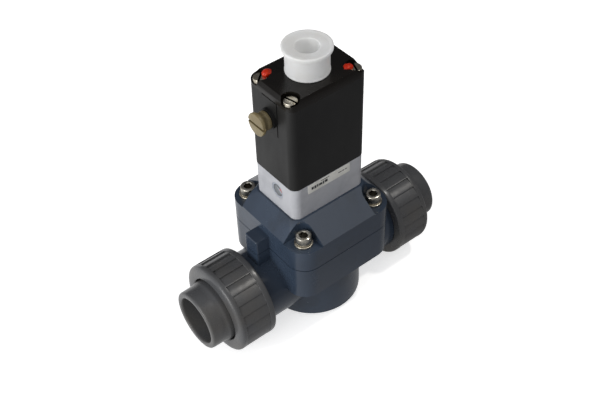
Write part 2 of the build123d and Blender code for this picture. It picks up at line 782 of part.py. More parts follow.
with BuildPart() as pilot_diaphragm:
    with BuildSketch(Plane.XZ):
        with BuildLine():
            Polyline(
                (0, nozzle_z + 0.1),
                (nozzle_r + 0.4, nozzle_z + 0.1),
                (nozzle_r + 0.4, pilot_ledge_z + 0.1),
                (pilot_chamber_r, pilot_ledge_z + 0.1),
                (pilot_chamber_r, pilot_ledge_z),
                (pilot_well_r - retainer_gap, pilot_ledge_z),
                (pilot_well_r - retainer_gap, retainer_base_z),
                (retainer_bore_r, retainer_base_z),
                (retainer_bore_r, pilot_ledge_z + pilot_web_t),
                (nozzle_r + 0.4, pilot_ledge_z + pilot_web_t),
                (nozzle_r + 0.4, plunger_base_z - 0.2),
                (0, plunger_base_z - 0.2),
                close=True,
            )
        make_face()
    revolve(axis=Axis.Z)
save(pilot_diaphragm, "pilot_diaphragm")

with BuildPart() as pilot_retainer:
    with BuildSketch(Plane.XY.offset(retainer_base_z)):
        Circle(pilot_well_r - retainer_gap)
        Circle(retainer_bore_r, mode=Mode.SUBTRACT)
    extrude(amount=retainer_top_z - retainer_base_z)
    # slot for the indicator's shaft and crank
    slot_low_z = indicator_z - 2.6
    with BuildSketch(Plane.XY.offset(slot_low_z)):
        with Locations((-pilot_well_r, indicator_y + crank_reach / 2)):
            Rectangle(2 * (pilot_well_r - retainer_bore_r + 3), crank_reach + 5.0)
    extrude(amount=retainer_top_z - slot_low_z, mode=Mode.SUBTRACT)
save(pilot_retainer, "pilot_retainer")

with BuildPart() as pilot_seals:
    for seal_x, ring_r, ring_d in pilot_seal_rings:
        with BuildSketch(Plane.XZ):
            with Locations((seal_x + ring_r, pilot_base_z + ring_d / 2)):
                Circle(ring_d / 2)
        revolve(axis=Axis((seal_x, 0, 0), (0, 0, 1)))
save(pilot_seals, "pilot_seals")

# ---- indicator: window, two-coloured hand, shaft and crank --------------------------------------

window_face_x = -pilot_x / 2 + window_inset
hand_x = window_face_x + window_t + 0.5

with BuildPart() as indicator_window:
    with BuildSketch(needle_plane(window_face_x)):
        Circle(window_r - pane_gap)
    extrude(amount=window_t)
save(indicator_window, "indicator_window")


def build_hand(sign, name):
    """Half of the hand, from its middle out to one tip."""
    along = (0, sign * cos(radians(hand_tilt)), -sign * sin(radians(hand_tilt)))
    hand_plane = Plane(origin=(hand_x, indicator_y, indicator_z), x_dir=along, z_dir=(1, 0, 0))
    with BuildPart() as hand:
        with BuildSketch(hand_plane):
            with BuildLine():
                Polyline(
                    (0, -hand_w / 2),
                    (hand_length / 2 - hand_tip_l, -hand_w / 2),
                    (hand_length / 2, 0),
                    (hand_length / 2 - hand_tip_l, hand_w / 2),
                    (0, hand_w / 2),
                    close=True,
                )
            make_face()
        extrude(amount=hand_t)
    save(hand, name)


build_hand(1, "indicator_hand_black")
build_hand(-1, "indicator_hand_red")

with BuildPart() as indicator_shaft:
    with BuildSketch(needle_plane(hand_x + hand_t)):
        Circle(needle_shaft_r)
    extrude(amount=shaft_end_x - hand_x - hand_t)
    crank_tip = (crank_reach, -crank_drop)
    with BuildSketch(needle_plane(shaft_end_x)):
        with BuildLine():
            Polyline(
                (0, -crank_half_w),
                (crank_tip[0], crank_tip[1] - crank_half_w),
                (crank_tip[0] + crank_half_w, crank_tip[1]),
                (crank_tip[0], crank_tip[1] + crank_half_w),
                (0, crank_half_w),
                (-crank_half_w, 0),
                close=True,
            )
        make_face()
    extrude(amount=crank_x - shaft_end_x)
    with BuildSketch(needle_plane(crank_x)):
        with Locations(crank_tip):
            Circle(crank_pin_r)
    extrude(amount=crank_pin_l)
save(indicator_shaft, "indicator_shaft")

# ---- rating label -------------------------------------------------------------------------------

with BuildPart() as rating_label:
    label_plane = Plane(
        origin=(label_centre_x, -pilot_y / 2, pilot_top_z - label_margin - label_z / 2),
        x_dir=(1, 0, 0),
        z_dir=(0, -1, 0),
    )
    with BuildSketch(label_plane):
        RectangleRounded(label_x, label_z, 0.5)
    extrude(amount=label_t)
save(rating_label, "rating_label")

# ---- coil housing -------------------------------------------------------------------------------

with BuildPart() as coil_housing:
    with BuildSketch(Plane.XY.offset(pilot_top_z)):
        RectangleRounded(housing_x, housing_y, housing_corner_r)
    extrude(amount=housing_top_z - pilot_top_z)
    # the magnet fills this space from below
    with BuildSketch(Plane.XY.offset(pilot_top_z)):
        Rectangle(yoke_x + 2 * coil_gap, yoke_y + 2 * coil_gap)
    extrude(amount=yoke_h + coil_gap, mode=Mode.SUBTRACT)
    # bay for the override's cam and the rod's collar, closed by the lid
    with BuildSketch(Plane.XY.offset(bay_base_z)):
        with Locations(((bay_back_x + bay_front_x) / 2, 0)):
            RectangleRounded(bay_front_x - bay_back_x, bay_y, bay_corner_r)
    extrude(amount=housing_top_z - bay_base_z, mode=Mode.SUBTRACT)
    with BuildSketch(Plane.XY.offset(pilot_top_z)):
        with coil_screw_places:
            Circle(coil_screw_r + hole_gap)
    extrude(amount=housing_top_z - pilot_top_z, mode=Mode.SUBTRACT)
    # recess of the override panel, open under the lid, and the bush's hole behind it
    with BuildSketch(Plane.XY.offset(panel_base_z)):
        with Locations((-housing_x / 2, -panel_gap / 2)):
            Rectangle(2 * panel_t, panel_w + panel_gap)
    extrude(amount=housing_top_z, mode=Mode.SUBTRACT)
    with BuildSketch(override_plane(-housing_x / 2)):
        Circle(bush_r + close_gap)
    extrude(amount=bay_back_x + housing_x / 2, mode=Mode.SUBTRACT)
save(coil_housing, "coil_housing")

with BuildPart() as override_panel:
    with BuildSketch(Plane.XY.offset(panel_base_z)):
        with Locations((-housing_x / 2 + panel_t / 2, 0)):
            Rectangle(panel_t, panel_w)
    extrude(amount=housing_top_z - panel_gap - panel_base_z)
    with BuildSketch(override_plane(-housing_x / 2)):
        Circle(boss_r)
    extrude(amount=-boss_h)
    with BuildSketch(override_plane(-housing_x / 2 + panel_t)):
        Circle(bush_r)
    extrude(amount=bay_back_x + housing_x / 2 - panel_t)
    with BuildSketch(override_plane(-housing_x / 2 - boss_h)):
        Circle(shaft_clear_r)
    extrude(amount=bay_back_x + housing_x / 2 + boss_h, mode=Mode.SUBTRACT)
    # groove of the shaft's seal, at the inner end of the bush
    with BuildSketch(override_plane(bay_back_x - shaft_ring_l)):
        Circle(shaft_clear_r + shaft_ring_d)
    extrude(amount=shaft_ring_l, mode=Mode.SUBTRACT)
save(override_panel, "override_panel")

with BuildPart() as shaft_seal:
    with BuildSketch(Plane(origin=(0, 0, override_z), x_dir=(1, 0, 0), z_dir=(0, -1, 0))):
        with Locations((bay_back_x - shaft_ring_l / 2, shaft_clear_r + shaft_ring_d / 2)):
            Circle(shaft_ring_d / 2 - 0.05)
    revolve(axis=Axis((0, 0, override_z), (1, 0, 0)))
save(shaft_seal, "shaft_seal")

# ---- manual override: knob and cam shaft --------------------------------------------------------

knob_back_x = -housing_x / 2 - boss_h - body_gap

with BuildPart() as override_knob:
    with BuildSketch(Plane(origin=(0, 0, override_z), x_dir=(1, 0, 0), z_dir=(0, -1, 0))):
        with BuildLine():
            Polyline(
                (knob_face_x, 0),
                (knob_face_x, knob_r - 0.6),
                (knob_face_x + 0.6, knob_r),
                (knob_face_x + 1.7, knob_r),
                (knob_face_x + 4.4, knob_waist_r),
                (knob_face_x + 5.2, knob_waist_r),
                (knob_back_x - 1.6, knob_base_r),
                (knob_back_x, knob_base_r - 0.3),
                (knob_back_x, 0),
                close=True,
            )
        make_face()
    revolve(axis=Axis((0, 0, override_z), (1, 0, 0)))
    with BuildSketch(override_plane(knob_face_x)):
        Rectangle(2 * knob_r + 2, knob_slot_w)
    extrude(amount=knob_slot_d, mode=Mode.SUBTRACT)
    with BuildSketch(override_plane(knob_socket_x)):
        Circle(override_shaft_r + 0.02)
    extrude(amount=knob_back_x - knob_socket_x, mode=Mode.SUBTRACT)
save(override_knob, "override_knob")

with BuildPart() as override_shaft:
    with BuildSketch(override_plane(knob_socket_x)):
        Circle(override_shaft_r)
    extrude(amount=override_end_x - knob_socket_x)
    # eccentric pin, level with the shaft at rest, that lifts the rod's collar as it turns up
    with BuildSketch(override_plane(override_end_x)):
        with Locations((override_throw, 0)):
            Circle(override_pin_r)
    extrude(amount=override_pin_l)
save(override_shaft, "override_shaft")

# ---- magnet: yoke, bobbin, winding, guide tube, fixed core and nut ------------------------------

with BuildPart() as yoke_frame:
    with BuildSketch(Plane.XZ.offset(-yoke_y / 2)):
        with BuildLine():
            Polyline(
                (-yoke_x / 2, pilot_top_z),
                (yoke_x / 2, pilot_top_z),
                (yoke_x / 2, yoke_top_z - yoke_t),
                (yoke_x / 2 - yoke_t, yoke_top_z - yoke_t),
                (yoke_x / 2 - yoke_t, pilot_top_z + yoke_t),
                (-yoke_x / 2 + yoke_t, pilot_top_z + yoke_t),
                (-yoke_x / 2 + yoke_t, yoke_top_z - yoke_t),
                (-yoke_x / 2, yoke_top_z - yoke_t),
                close=True,
            )
        make_face()
    extrude(amount=yoke_y)
    with BuildSketch(Plane.XY.offset(pilot_top_z)):
        Circle(tube_r + close_gap)
    extrude(amount=yoke_t, mode=Mode.SUBTRACT)
save(yoke_frame, "yoke_frame")

with BuildPart() as yoke_plate:
    with BuildSketch(Plane.XY.offset(yoke_top_z - yoke_t)):
        Rectangle(yoke_x, yoke_y)
        Circle(core_r + close_gap, mode=Mode.SUBTRACT)
    extrude(amount=yoke_t)
save(yoke_plate, "yoke_plate")

bobbin_base_z = pilot_top_z + yoke_t + coil_gap
bobbin_top_z = yoke_top_z - yoke_t - coil_gap

with BuildPart() as coil_bobbin:
    with BuildSketch(Plane.XY.offset(bobbin_base_z)):
        Circle(bobbin_core_r)
    extrude(amount=bobbin_top_z - bobbin_base_z)
    with BuildSketch(Plane.XY.offset(bobbin_base_z)):
        Circle(bobbin_flange_r)
    extrude(amount=bobbin_flange_t)
    with BuildSketch(Plane.XY.offset(bobbin_top_z - bobbin_flange_t)):
        Circle(bobbin_flange_r)
    extrude(amount=bobbin_flange_t)
    with BuildSketch(Plane.XY.offset(bobbin_base_z)):
        Circle(bobbin_bore_r)
    extrude(amount=bobbin_top_z - bobbin_base_z, mode=Mode.SUBTRACT)
    split(bisect_by=Plane.XZ.offset(-yoke_y / 2 + close_gap), keep=Keep.TOP)
    split(bisect_by=Plane.XZ.offset(yoke_y / 2 - close_gap), keep=Keep.BOTTOM)
save(coil_bobbin, "coil_bobbin")

with BuildPart() as coil_winding:
    with BuildSketch(Plane.XY.offset(bobbin_base_z + bobbin_flange_t)):
        Circle(winding_r)
        Circle(bobbin_core_r, mode=Mode.SUBTRACT)
    extrude(amount=bobbin_top_z - bobbin_base_z - 2 * bobbin_flange_t)
save(coil_winding, "coil_winding")

with BuildPart() as guide_tube:
    with BuildSketch(Plane.XY.offset(pilot_top_z)):
        Circle(tube_r)
        Circle(tube_bore_r, mode=Mode.SUBTRACT)
    extrude(amount=tube_h)
    with BuildSketch(Plane.XY.offset(pilot_top_z)):
        Circle(tube_r)
        Circle(tube_lip_r, mode=Mode.SUBTRACT)
    extrude(amount=tube_lip_t)
save(guide_tube, "guide_tube")

with BuildPart() as fixed_core:
    with BuildSketch(Plane.XY.offset(core_base_z)):
        Circle(core_r)
        Circle(core_bore_r, mode=Mode.SUBTRACT)
    extrude(amount=core_l + yoke_t + core_nut_t + core_stub_l)
save(fixed_core, "fixed_core")

with BuildPart() as core_nut:
    with BuildSketch(Plane.XY.offset(yoke_top_z)):
        RegularPolygon(core_nut_r, 6, major_radius=False)
        Circle(core_r + 0.05, mode=Mode.SUBTRACT)
    extrude(amount=core_nut_t)
save(core_nut, "core_nut")

# ---- plunger, pull rod and return spring --------------------------------------------------------

with BuildPart() as plunger:
    with BuildSketch(Plane.XY.offset(plunger_base_z)):
        Circle(plunger_stem_r)
    extrude(amount=plunger_top_z - plunger_base_z)
    with BuildSketch(Plane.XY.offset(collar_base_z)):
        Circle(plunger_collar_r)
    extrude(amount=plunger_collar_t)
    with BuildSketch(Plane.XY.offset(pilot_top_z + tube_lip_t + body_gap)):
        Circle(plunger_r)
    extrude(amount=plunger_top_z - pilot_top_z - tube_lip_t - body_gap)
    chamfer(plunger.edges().group_by(Axis.Z)[-1], 0.6)
save(plunger, "plunger")

with BuildPart() as pull_rod:
    with BuildSketch(Plane.XY.offset(plunger_top_z)):
        Circle(rod_r)
    extrude(amount=rod_collar_z + rod_collar_t + 1.5 - plunger_top_z)
    with BuildSketch(Plane.XY.offset(rod_collar_z)):
        Circle(rod_collar_r)
    extrude(amount=rod_collar_t)
save(pull_rod, "pull_rod")

plunger_spring = coil_spring(
    plunger_spring_r,
    plunger_spring_wire,
    collar_base_z + plunger_collar_t,
    pilot_top_z,
    plunger_spring_turns,
)
save(plunger_spring, "plunger_spring")

# ---- lid, gasket, long screws and seals ---------------------------------------------------------

with BuildPart() as housing_lid:
    with BuildSketch(Plane.XY.offset(housing_top_z)):
        RectangleRounded(housing_x, housing_y, housing_corner_r)
    extrude(amount=lid_step_z - housing_top_z)
    with BuildSketch(Plane.XY.offset(lid_step_z)):
        RectangleRounded(housing_x, housing_y, housing_corner_r)
    with BuildSketch(Plane.XY.offset(lid_top_z)):
        RectangleRounded(
            housing_x - 2 * lid_bevel_w, housing_y - 2 * lid_bevel_w, housing_corner_r - lid_bevel_w
        )
    loft()
    with BuildSketch(Plane.XY.offset(lid_pocket_z)):
        with coil_screw_places:
            Circle(lid_pocket_r)
    extrude(amount=lid_top_z, mode=Mode.SUBTRACT)
    with BuildSketch(Plane.XY.offset(housing_top_z)):
        with coil_screw_places:
            Circle(coil_screw_r + hole_gap)
    extrude(amount=lid_top_z, mode=Mode.SUBTRACT)
    # opening for the connector's leads
    with BuildSketch(Plane.XY.offset(housing_top_z)):
        Circle(contact_pitch_r + contact_r + lead_gap)
    extrude(amount=lid_top_z, mode=Mode.SUBTRACT)
    # groove of the gasket, around the bay
    with BuildSketch(Plane.XY.offset(housing_top_z)):
        with Locations(((bay_back_x + bay_front_x) / 2, 0)):
            RectangleRounded(gasket_x, gasket_y, gasket_r)
            RectangleRounded(gasket_hole_x, gasket_hole_y, lid_gasket_r, mode=Mode.SUBTRACT)
    extrude(amount=lid_gasket_t, mode=Mode.SUBTRACT)
save(housing_lid, "housing_lid")

with BuildPart() as lid_gasket:
    with BuildSketch(Plane.XY.offset(housing_top_z)):
        with Locations(((bay_back_x + bay_front_x) / 2, 0)):
            RectangleRounded(gasket_x, gasket_y, gasket_r)
            RectangleRounded(gasket_hole_x, gasket_hole_y, lid_gasket_r, mode=Mode.SUBTRACT)
    extrude(amount=lid_gasket_t)
save(lid_gasket, "lid_gasket")

with BuildPart() as coil_screws:
    with BuildSketch(Plane.XY.offset(lid_pocket_z)):
        with coil_screw_places:
            Circle(coil_screw_head_r)
    extrude(amount=coil_screw_head_h)
    chamfer(coil_screws.faces().sort_by(Axis.Z)[-4:].edges(), 0.3)
    with BuildSketch(Plane.XY.offset(roof_z - coil_insert_l)):
        with coil_screw_places:
            Circle(coil_screw_r)
    extrude(amount=lid_pocket_z - roof_z + coil_insert_l)
    with BuildSketch(Plane.XY.offset(lid_pocket_z + coil_screw_head_h)):
        for place, turn in zip(coil_screw_places.locations, (-75, 40, 70, 10)):
            with Locations(place):
                Rectangle(2 * coil_screw_head_r + 1, coil_screw_slot_w, rotation=turn)
    extrude(amount=-coil_screw_slot_d, mode=Mode.SUBTRACT)
save(coil_screws, "coil_screws")

with BuildPart() as tamper_seals:
    for sx, sy in ((-1, 1), (1, -1)):
        screw_at = (sx * coil_screw_x / 2, sy * coil_screw_y / 2)
        inward = Vector(-screw_at[0], -screw_at[1] * 0.4).normalized()
        lump_at = (screw_at[0] + inward.X * seal_offset, screw_at[1] + inward.Y * seal_offset)
        with BuildSketch(Plane.XY.offset(lid_pocket_z)):
            with Locations(lump_at):
                RegularPolygon(seal_size, 6, rotation=seal_turn)
            with Locations(screw_at):
                Circle(lid_pocket_r - 0.05, mode=Mode.INTERSECT)
                Circle(coil_screw_head_r + 0.05, mode=Mode.SUBTRACT)
        extrude(amount=lid_top_z - lid_pocket_z + 0.05)
        with BuildSketch(Plane.XY.offset(lid_top_z + 0.02)):
            with Locations(lump_at):
                RegularPolygon(seal_size, 6, rotation=seal_turn)
        extrude(amount=seal_rise)
save(tamper_seals, "tamper_seals")

# ---- plug connector and transport cap -----------------------------------------------------------

with BuildPart() as plug_collar:
    with BuildSketch(Plane.XY.offset(lid_top_z)):
        Circle(collar_r)
        with PolarLocations(contact_pitch_r, contact_count):
            Circle(contact_r, mode=Mode.SUBTRACT)
    extrude(amount=insert_t)
    with BuildSketch(Plane.XY.offset(lid_top_z + insert_t)):
        Circle(collar_r)
        Circle(collar_bore_r, mode=Mode.SUBTRACT)
    extrude(amount=collar_h - insert_t)
save(plug_collar, "plug_collar")

with BuildPart() as contact_pins:
    with BuildSketch(Plane.XY.offset(lid_top_z - contact_tail_l)):
        with PolarLocations(contact_pitch_r, contact_count):
            Circle(contact_r)
    extrude(amount=contact_tail_l + insert_t + contact_h)
save(contact_pins, "contact_pins")

cap_base_z = lid_top_z + body_gap
cap_top_z = lid_top_z + cap_h

with BuildPart() as transport_cap:
    with BuildSketch(Plane.XZ):
        with BuildLine():
            Polyline(
                (0, cap_top_z - cap_well_depth),
                (cap_well_r - 0.4, cap_top_z - cap_well_depth),
                (cap_well_r, cap_top_z - cap_dish),
                (cap_well_r + 1.2, cap_top_z - cap_dish),
                (cap_brim_r - 1.0, cap_top_z),
                (cap_brim_r, cap_top_z - 0.6),
                (cap_brim_r, cap_top_z - cap_brim_t),
                (cap_r, cap_top_z - cap_brim_t - 0.6),
                (cap_r, cap_base_z + cap_bead_h + 0.4),
                (cap_r + cap_bead_w, cap_base_z + cap_bead_h),
                (cap_r + cap_bead_w, cap_base_z),
                (cap_r - cap_wall, cap_base_z),
                (cap_r - cap_wall, cap_top_z - cap_brim_t - 0.6),
                (cap_well_r + cap_wall, cap_top_z - cap_brim_t - 0.6),
                (cap_well_r + cap_wall, cap_top_z - cap_well_depth - cap_wall),
                (0, cap_top_z - cap_well_depth - cap_wall),
                close=True,
            )
        make_face()
    revolve(axis=Axis.Z)
save(transport_cap, "transport_cap")
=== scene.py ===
from math import cos, pi, radians, sin, tau

import bmesh
import bpy
from mathutils import Matrix, Vector, noise


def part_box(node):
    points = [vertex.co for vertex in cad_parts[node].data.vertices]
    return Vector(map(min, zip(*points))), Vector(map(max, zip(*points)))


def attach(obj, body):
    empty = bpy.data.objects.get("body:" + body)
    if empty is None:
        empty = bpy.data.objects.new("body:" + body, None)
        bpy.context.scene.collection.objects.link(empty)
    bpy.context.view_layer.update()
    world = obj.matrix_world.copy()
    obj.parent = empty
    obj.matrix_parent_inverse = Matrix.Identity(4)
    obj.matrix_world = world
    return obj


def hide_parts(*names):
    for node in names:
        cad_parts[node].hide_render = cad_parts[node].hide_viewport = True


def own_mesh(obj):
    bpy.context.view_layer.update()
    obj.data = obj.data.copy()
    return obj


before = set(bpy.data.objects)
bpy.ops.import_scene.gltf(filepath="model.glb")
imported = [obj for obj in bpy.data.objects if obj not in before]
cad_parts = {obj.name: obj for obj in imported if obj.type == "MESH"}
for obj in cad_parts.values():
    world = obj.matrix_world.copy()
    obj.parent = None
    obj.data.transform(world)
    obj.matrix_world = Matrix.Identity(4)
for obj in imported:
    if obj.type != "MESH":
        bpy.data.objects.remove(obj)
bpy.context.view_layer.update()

scene = bpy.context.scene
mm = 0.001

# ---- bench, lamps and camera -------------------------------------------------------------------
# The valve stands on a plain white light table, which glows a little and so softens shadows. A
# small lamp overhead gives the glints, and soft boxes stand at the front and left.


def shade(code):
    """A '#rrggbb' paint code as linear red, green, blue and alpha."""
    parts = [int(code[i : i + 2], 16) / 255 for i in (1, 3, 5)]
    return (*[((p + 0.055) / 1.055) ** 2.4 if p > 0.04045 else p / 12.92 for p in parts], 1.0)


def finish_of(name, code, roughness, **sockets):
    """A new material: its colour and each constant go straight on the shader's sockets."""
    material = bpy.data.materials.new(name)
    material.use_nodes = True
    shader = material.node_tree.nodes["Principled BSDF"]
    shader.inputs["Base Color"].default_value = shade(code)
    shader.inputs["Roughness"].default_value = roughness
    for socket, value in sockets.items():
        shader.inputs[socket.replace("_", " ")].default_value = value
    material.diffuse_color = shade(code)
    return material


bench_mesh = bpy.data.meshes.new("bench_top")
bench_half = 6.0
bench_corners = ((-1, -1), (1, -1), (1, 1), (-1, 1))
bench_rim = [(x * bench_half, y * bench_half, 0) for x, y in bench_corners]
bench_mesh.from_pydata(bench_rim, [], [(0, 1, 2, 3)])
bench_top = bpy.data.objects.new("bench_top", bench_mesh)
scene.collection.objects.link(bench_top)
# a hair below the nuts, which the valve stands on
bench_drop = 0.2 * mm
bench_mesh.transform(Matrix.Translation((0, 0, -bench_drop)))
bench_paint = finish_of("bench_white", "#f4f4f4", 0.9, Specular_IOR_Level=0.1)
# the table looks white but throws only a little light back at the valve
bench_parts, bench_join = bench_paint.node_tree.nodes, bench_paint.node_tree.links.new
bench_view = bench_parts.new("ShaderNodeLightPath")
bench_tone = bench_parts.new("ShaderNodeMix")
bench_tone.data_type = "RGBA"
bench_tone.inputs["A"].default_value = shade("#7c7c7e")
bench_tone.inputs["B"].default_value = shade("#f6f6f6")
bench_join(bench_view.outputs["Is Camera Ray"], bench_tone.inputs["Factor"])
bench_join(bench_tone.outputs["Result"], bench_parts["Principled BSDF"].inputs["Base Color"])
bench_parts["Principled BSDF"].inputs["Emission Color"].default_value = shade("#ffffff")
# its glow on the valve comes mostly from the back left
bench_where = bench_parts.new("ShaderNodeTexCoord")
bench_side = bench_parts.new("ShaderNodeVectorMath")
bench_side.operation = "DOT_PRODUCT"
bench_side.inputs[1].default_value = (-0.62, 0.78, 0)
bench_drift = bench_parts.new("ShaderNodeMapRange")
for socket, number in (("From Min", -0.1), ("From Max", 0.12), ("To Min", 0.12), ("To Max", 0.75)):
    bench_drift.inputs[socket].default_value = number
bench_glow = bench_parts.new("ShaderNodeMix")
bench_glow.inputs["B"].default_value = 0.6
bench_join(bench_where.outputs["Object"], bench_side.inputs[0])
bench_join(bench_side.outputs["Value"], bench_drift.inputs["Value"])
bench_join(bench_drift.outputs["Result"], bench_glow.inputs["A"])
bench_join(bench_view.outputs["Is Camera Ray"], bench_glow.inputs["Factor"])
bench_join(bench_glow.outputs["Result"], bench_parts["Principled BSDF"].inputs["Emission Strength"])
bench_mesh.materials.append(bench_paint)

world = bpy.data.worlds.new("studio")
scene.world = world
world.use_nodes = True
sky = world.node_tree.nodes
sky_where = sky.new("ShaderNodeTexCoord")
sky_side = sky.new("ShaderNodeVectorMath")
sky_side.operation = "DOT_PRODUCT"
sky_side.inputs[1].default_value = Vector((-0.82, -0.25, 0.5)).normalized()
sky_share = sky.new("ShaderNodeMapRange")
sky_share.inputs["From Min"].default_value = -1.0
sky_ramp = sky.new("ShaderNodeValToRGB")
sky_ramp.color_ramp.elements[0].position = 0.25
sky_ramp.color_ramp.elements[0].color = (0.06, 0.06, 0.063, 1)
sky_ramp.color_ramp.elements[1].position = 1.0
sky_ramp.color_ramp.elements[1].color = (1.0, 1.0, 1.0, 1)
sky_middle = sky_ramp.color_ramp.elements.new(0.66)
sky_middle.color = (0.24, 0.24, 0.255, 1)
sky_join = world.node_tree.links.new
sky_join(sky_where.outputs["Generated"], sky_side.inputs[0])
sky_join(sky_side.outputs["Value"], sky_share.inputs["Value"])
sky_join(sky_share.outputs["Result"], sky_ramp.inputs["Fac"])
sky_join(sky_ramp.outputs["Color"], sky["Background"].inputs["Color"])
sky["Background"].inputs["Strength"].default_value = 1.0

aim = Vector((0, 0, 0.09))
lamps = (
    # name, direction from the valve, distance, width, power, colour
    ("lamp_overhead", (0.43, -0.17, 0.88), 1.5, 0.12, 5.5, (1.0, 0.97, 0.92)),
    ("lamp_front_box", (0.41, -0.475, 0.78), 1.8, 0.6, 1.1, (1.0, 0.99, 0.97)),
    ("lamp_left_box", (-1.0, -0.05, 0.24), 1.6, 0.9, 14.0, (1.0, 1.0, 1.0)),
)
for lamp_name, direction, distance, width, power, colour in lamps:
    lamp = bpy.data.lights.new(lamp_name, "AREA")
    lamp.size = width
    lamp.energy = power
    lamp.color = colour
    holder = bpy.data.objects.new(lamp_name, lamp)
    scene.collection.objects.link(holder)
    way = Vector(direction).normalized()
    holder.location = aim + way * distance
    holder.rotation_euler = way.to_track_quat("Z", "Y").to_euler()

camera_lens = bpy.data.cameras.new("bench_camera")
camera_lens.lens = 58.03
camera_lens.sensor_width = 36.0
camera_lens.clip_start = 0.02
bench_camera = bpy.data.objects.new("bench_camera", camera_lens)
scene.collection.objects.link(bench_camera)
camera_right = Vector((0.77916, -0.62641, -0.02262))
camera_up = Vector((0.45222, 0.53677, 0.71230))
camera_back = camera_right.cross(camera_up)
stand = Matrix((camera_right, camera_up, camera_back)).transposed().to_4x4()
stand.translation = Vector((-0.27628, -0.34885, 0.51716))
bench_camera.matrix_world = stand
scene.camera = bench_camera
scene.view_settings.view_transform = "Standard"

# ---- valve body and bonnet ---------------------------------------------------------------------
# Two injection-moulded blocks of blue-grey rigid PVC, clamped on the diaphragm between them.
# The skin is glossy with faint flow marks, and the mould's edges are broken by a fine radius.


def place_of(material, stretch=(1, 1, 1)):
    """Object coordinates through a Mapping node that stretches the pattern."""
    nodes, links = material.node_tree.nodes, material.node_tree.links
    where = nodes.new("ShaderNodeTexCoord")
    mapping = nodes.new("ShaderNodeMapping")
    mapping.inputs["Scale"].default_value = stretch
    links.new(where.outputs["Object"], mapping.inputs["Vector"])
    return mapping.outputs["Vector"]


def cloud(material, scale, detail=4.0, stretch=(1, 1, 1)):
    """A noise field; scale is how many lumps there are to the metre."""
    field = material.node_tree.nodes.new("ShaderNodeTexNoise")
    field.inputs["Scale"].default_value = scale
    field.inputs["Detail"].default_value = detail
    field.inputs["Roughness"].default_value = 0.55
    material.node_tree.links.new(place_of(material, stretch), field.inputs["Vector"])
    return field.outputs["Fac"]


def spread_range(material, value, low, high, start=0.35, end=0.65):
    """Maps a field from start..end on to low..high."""
    node = material.node_tree.nodes.new("ShaderNodeMapRange")
    limits = (("From Min", start), ("From Max", end), ("To Min", low), ("To Max", high))
    for socket, number in limits:
        node.inputs[socket].default_value = number
    material.node_tree.links.new(value, node.inputs["Value"])
    return node.outputs["Result"]


def mottle(material, code, scale, start=0.4, end=0.7):
    """Drifts the base colour towards a second one in soft patches."""
    nodes, links = material.node_tree.nodes, material.node_tree.links
    shader = nodes["Principled BSDF"]
    mix = nodes.new("ShaderNodeMix")
    mix.data_type = "RGBA"
    base = shader.inputs["Base Color"]
    if base.is_linked:
        links.new(base.links[0].from_socket, mix.inputs["A"])
    else:
        mix.inputs["A"].default_value = base.default_value
    mix.inputs["B"].default_value = shade(code)
    field = spread_range(material, cloud(material, scale), 0, 1, start, end)
    links.new(field, mix.inputs["Factor"])
    links.new(mix.outputs["Result"], base)


def sheen_drift(material, low, high, scale, stretch=(1, 1, 1)):
    """Varies the roughness, as handling and flow marks do."""
    field = spread_range(material, cloud(material, scale, stretch=stretch), low, high)
    shader = material.node_tree.nodes["Principled BSDF"]
    material.node_tree.links.new(field, shader.inputs["Roughness"])


def relief(material, field, strength, depth):
    """Adds a bump from a field on top of any that is there already."""
    nodes, links = material.node_tree.nodes, material.node_tree.links
    normal = nodes["Principled BSDF"].inputs["Normal"]
    bump = nodes.new("ShaderNodeBump")
    bump.inputs["Strength"].default_value = strength
    bump.inputs["Distance"].default_value = depth
    links.new(field, bump.inputs["Height"])
    if normal.is_linked:
        links.new(normal.links[0].from_socket, bump.inputs["Normal"])
    links.new(bump.outputs["Normal"], normal)


pvc_blue = finish_of("pvc_blue_grey", "#2e3846", 0.2, Specular_IOR_Level=0.46)
mottle(pvc_blue, "#344050", 22, 0.42, 0.72)
mottle(pvc_blue, "#2b3440", 60, 0.55, 0.75)
sheen_drift(pvc_blue, 0.15, 0.28, 45)
relief(pvc_blue, cloud(pvc_blue, 60, 2.0), 0.25, 0.0006)
relief(pvc_blue, cloud(pvc_blue, 900, 2.0), 0.06, 0.0001)


def dress(node, material, edge=0.3, angle=34, steps=2):
    """Gives a CAD node its finish and rounds its sharp edges by that many millimetres."""
    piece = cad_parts[node]
    piece.data.materials.clear()
    piece.data.materials.append(material)
    piece.data.shade_smooth()
    weld = piece.modifiers.new("join_facets", "WELD")
    weld.merge_threshold = 0.000004
    if edge:
        bevel = piece.modifiers.new("broken_edges", "BEVEL")
        bevel.width = edge * mm
        bevel.segments = steps
        bevel.limit_method = "ANGLE"
        bevel.angle_limit = radians(angle)
        even = piece.modifiers.new("flat_faces", "WEIGHTED_NORMAL")
        even.keep_sharp = True
    return piece


dress("valve_body", pvc_blue, 0.4)
dress("bonnet", pvc_blue, 0.35, 25)

# ---- union nuts --------------------------------------------------------------------------------
# Each union nut is moulded in dark grey PVC with 26 grip planks between two plain rims: every
# plank slopes down to a step at the next one. The front rolls over to a wide round shoulder.

pvc_dark = finish_of("pvc_dark_grey", "#4c4d4f", 0.24, Specular_IOR_Level=0.36)
mottle(pvc_dark, "#53514e", 25, 0.45, 0.7)
sheen_drift(pvc_dark, 0.19, 0.32, 55)
relief(pvc_dark, cloud(pvc_dark, 75, 2.0), 0.3, 0.0006)
relief(pvc_dark, cloud(pvc_dark, 1000, 2.0), 0.05, 0.0001)

inlet_nut_low, inlet_nut_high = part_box("union_nut_inlet")
pipe_z = (inlet_nut_low.z + inlet_nut_high.z) / 2
nut_r = (inlet_nut_high.z - inlet_nut_low.z) / 2
plank_count = 26
plank_step = 0.95 * mm
rim_w = 4.4 * mm


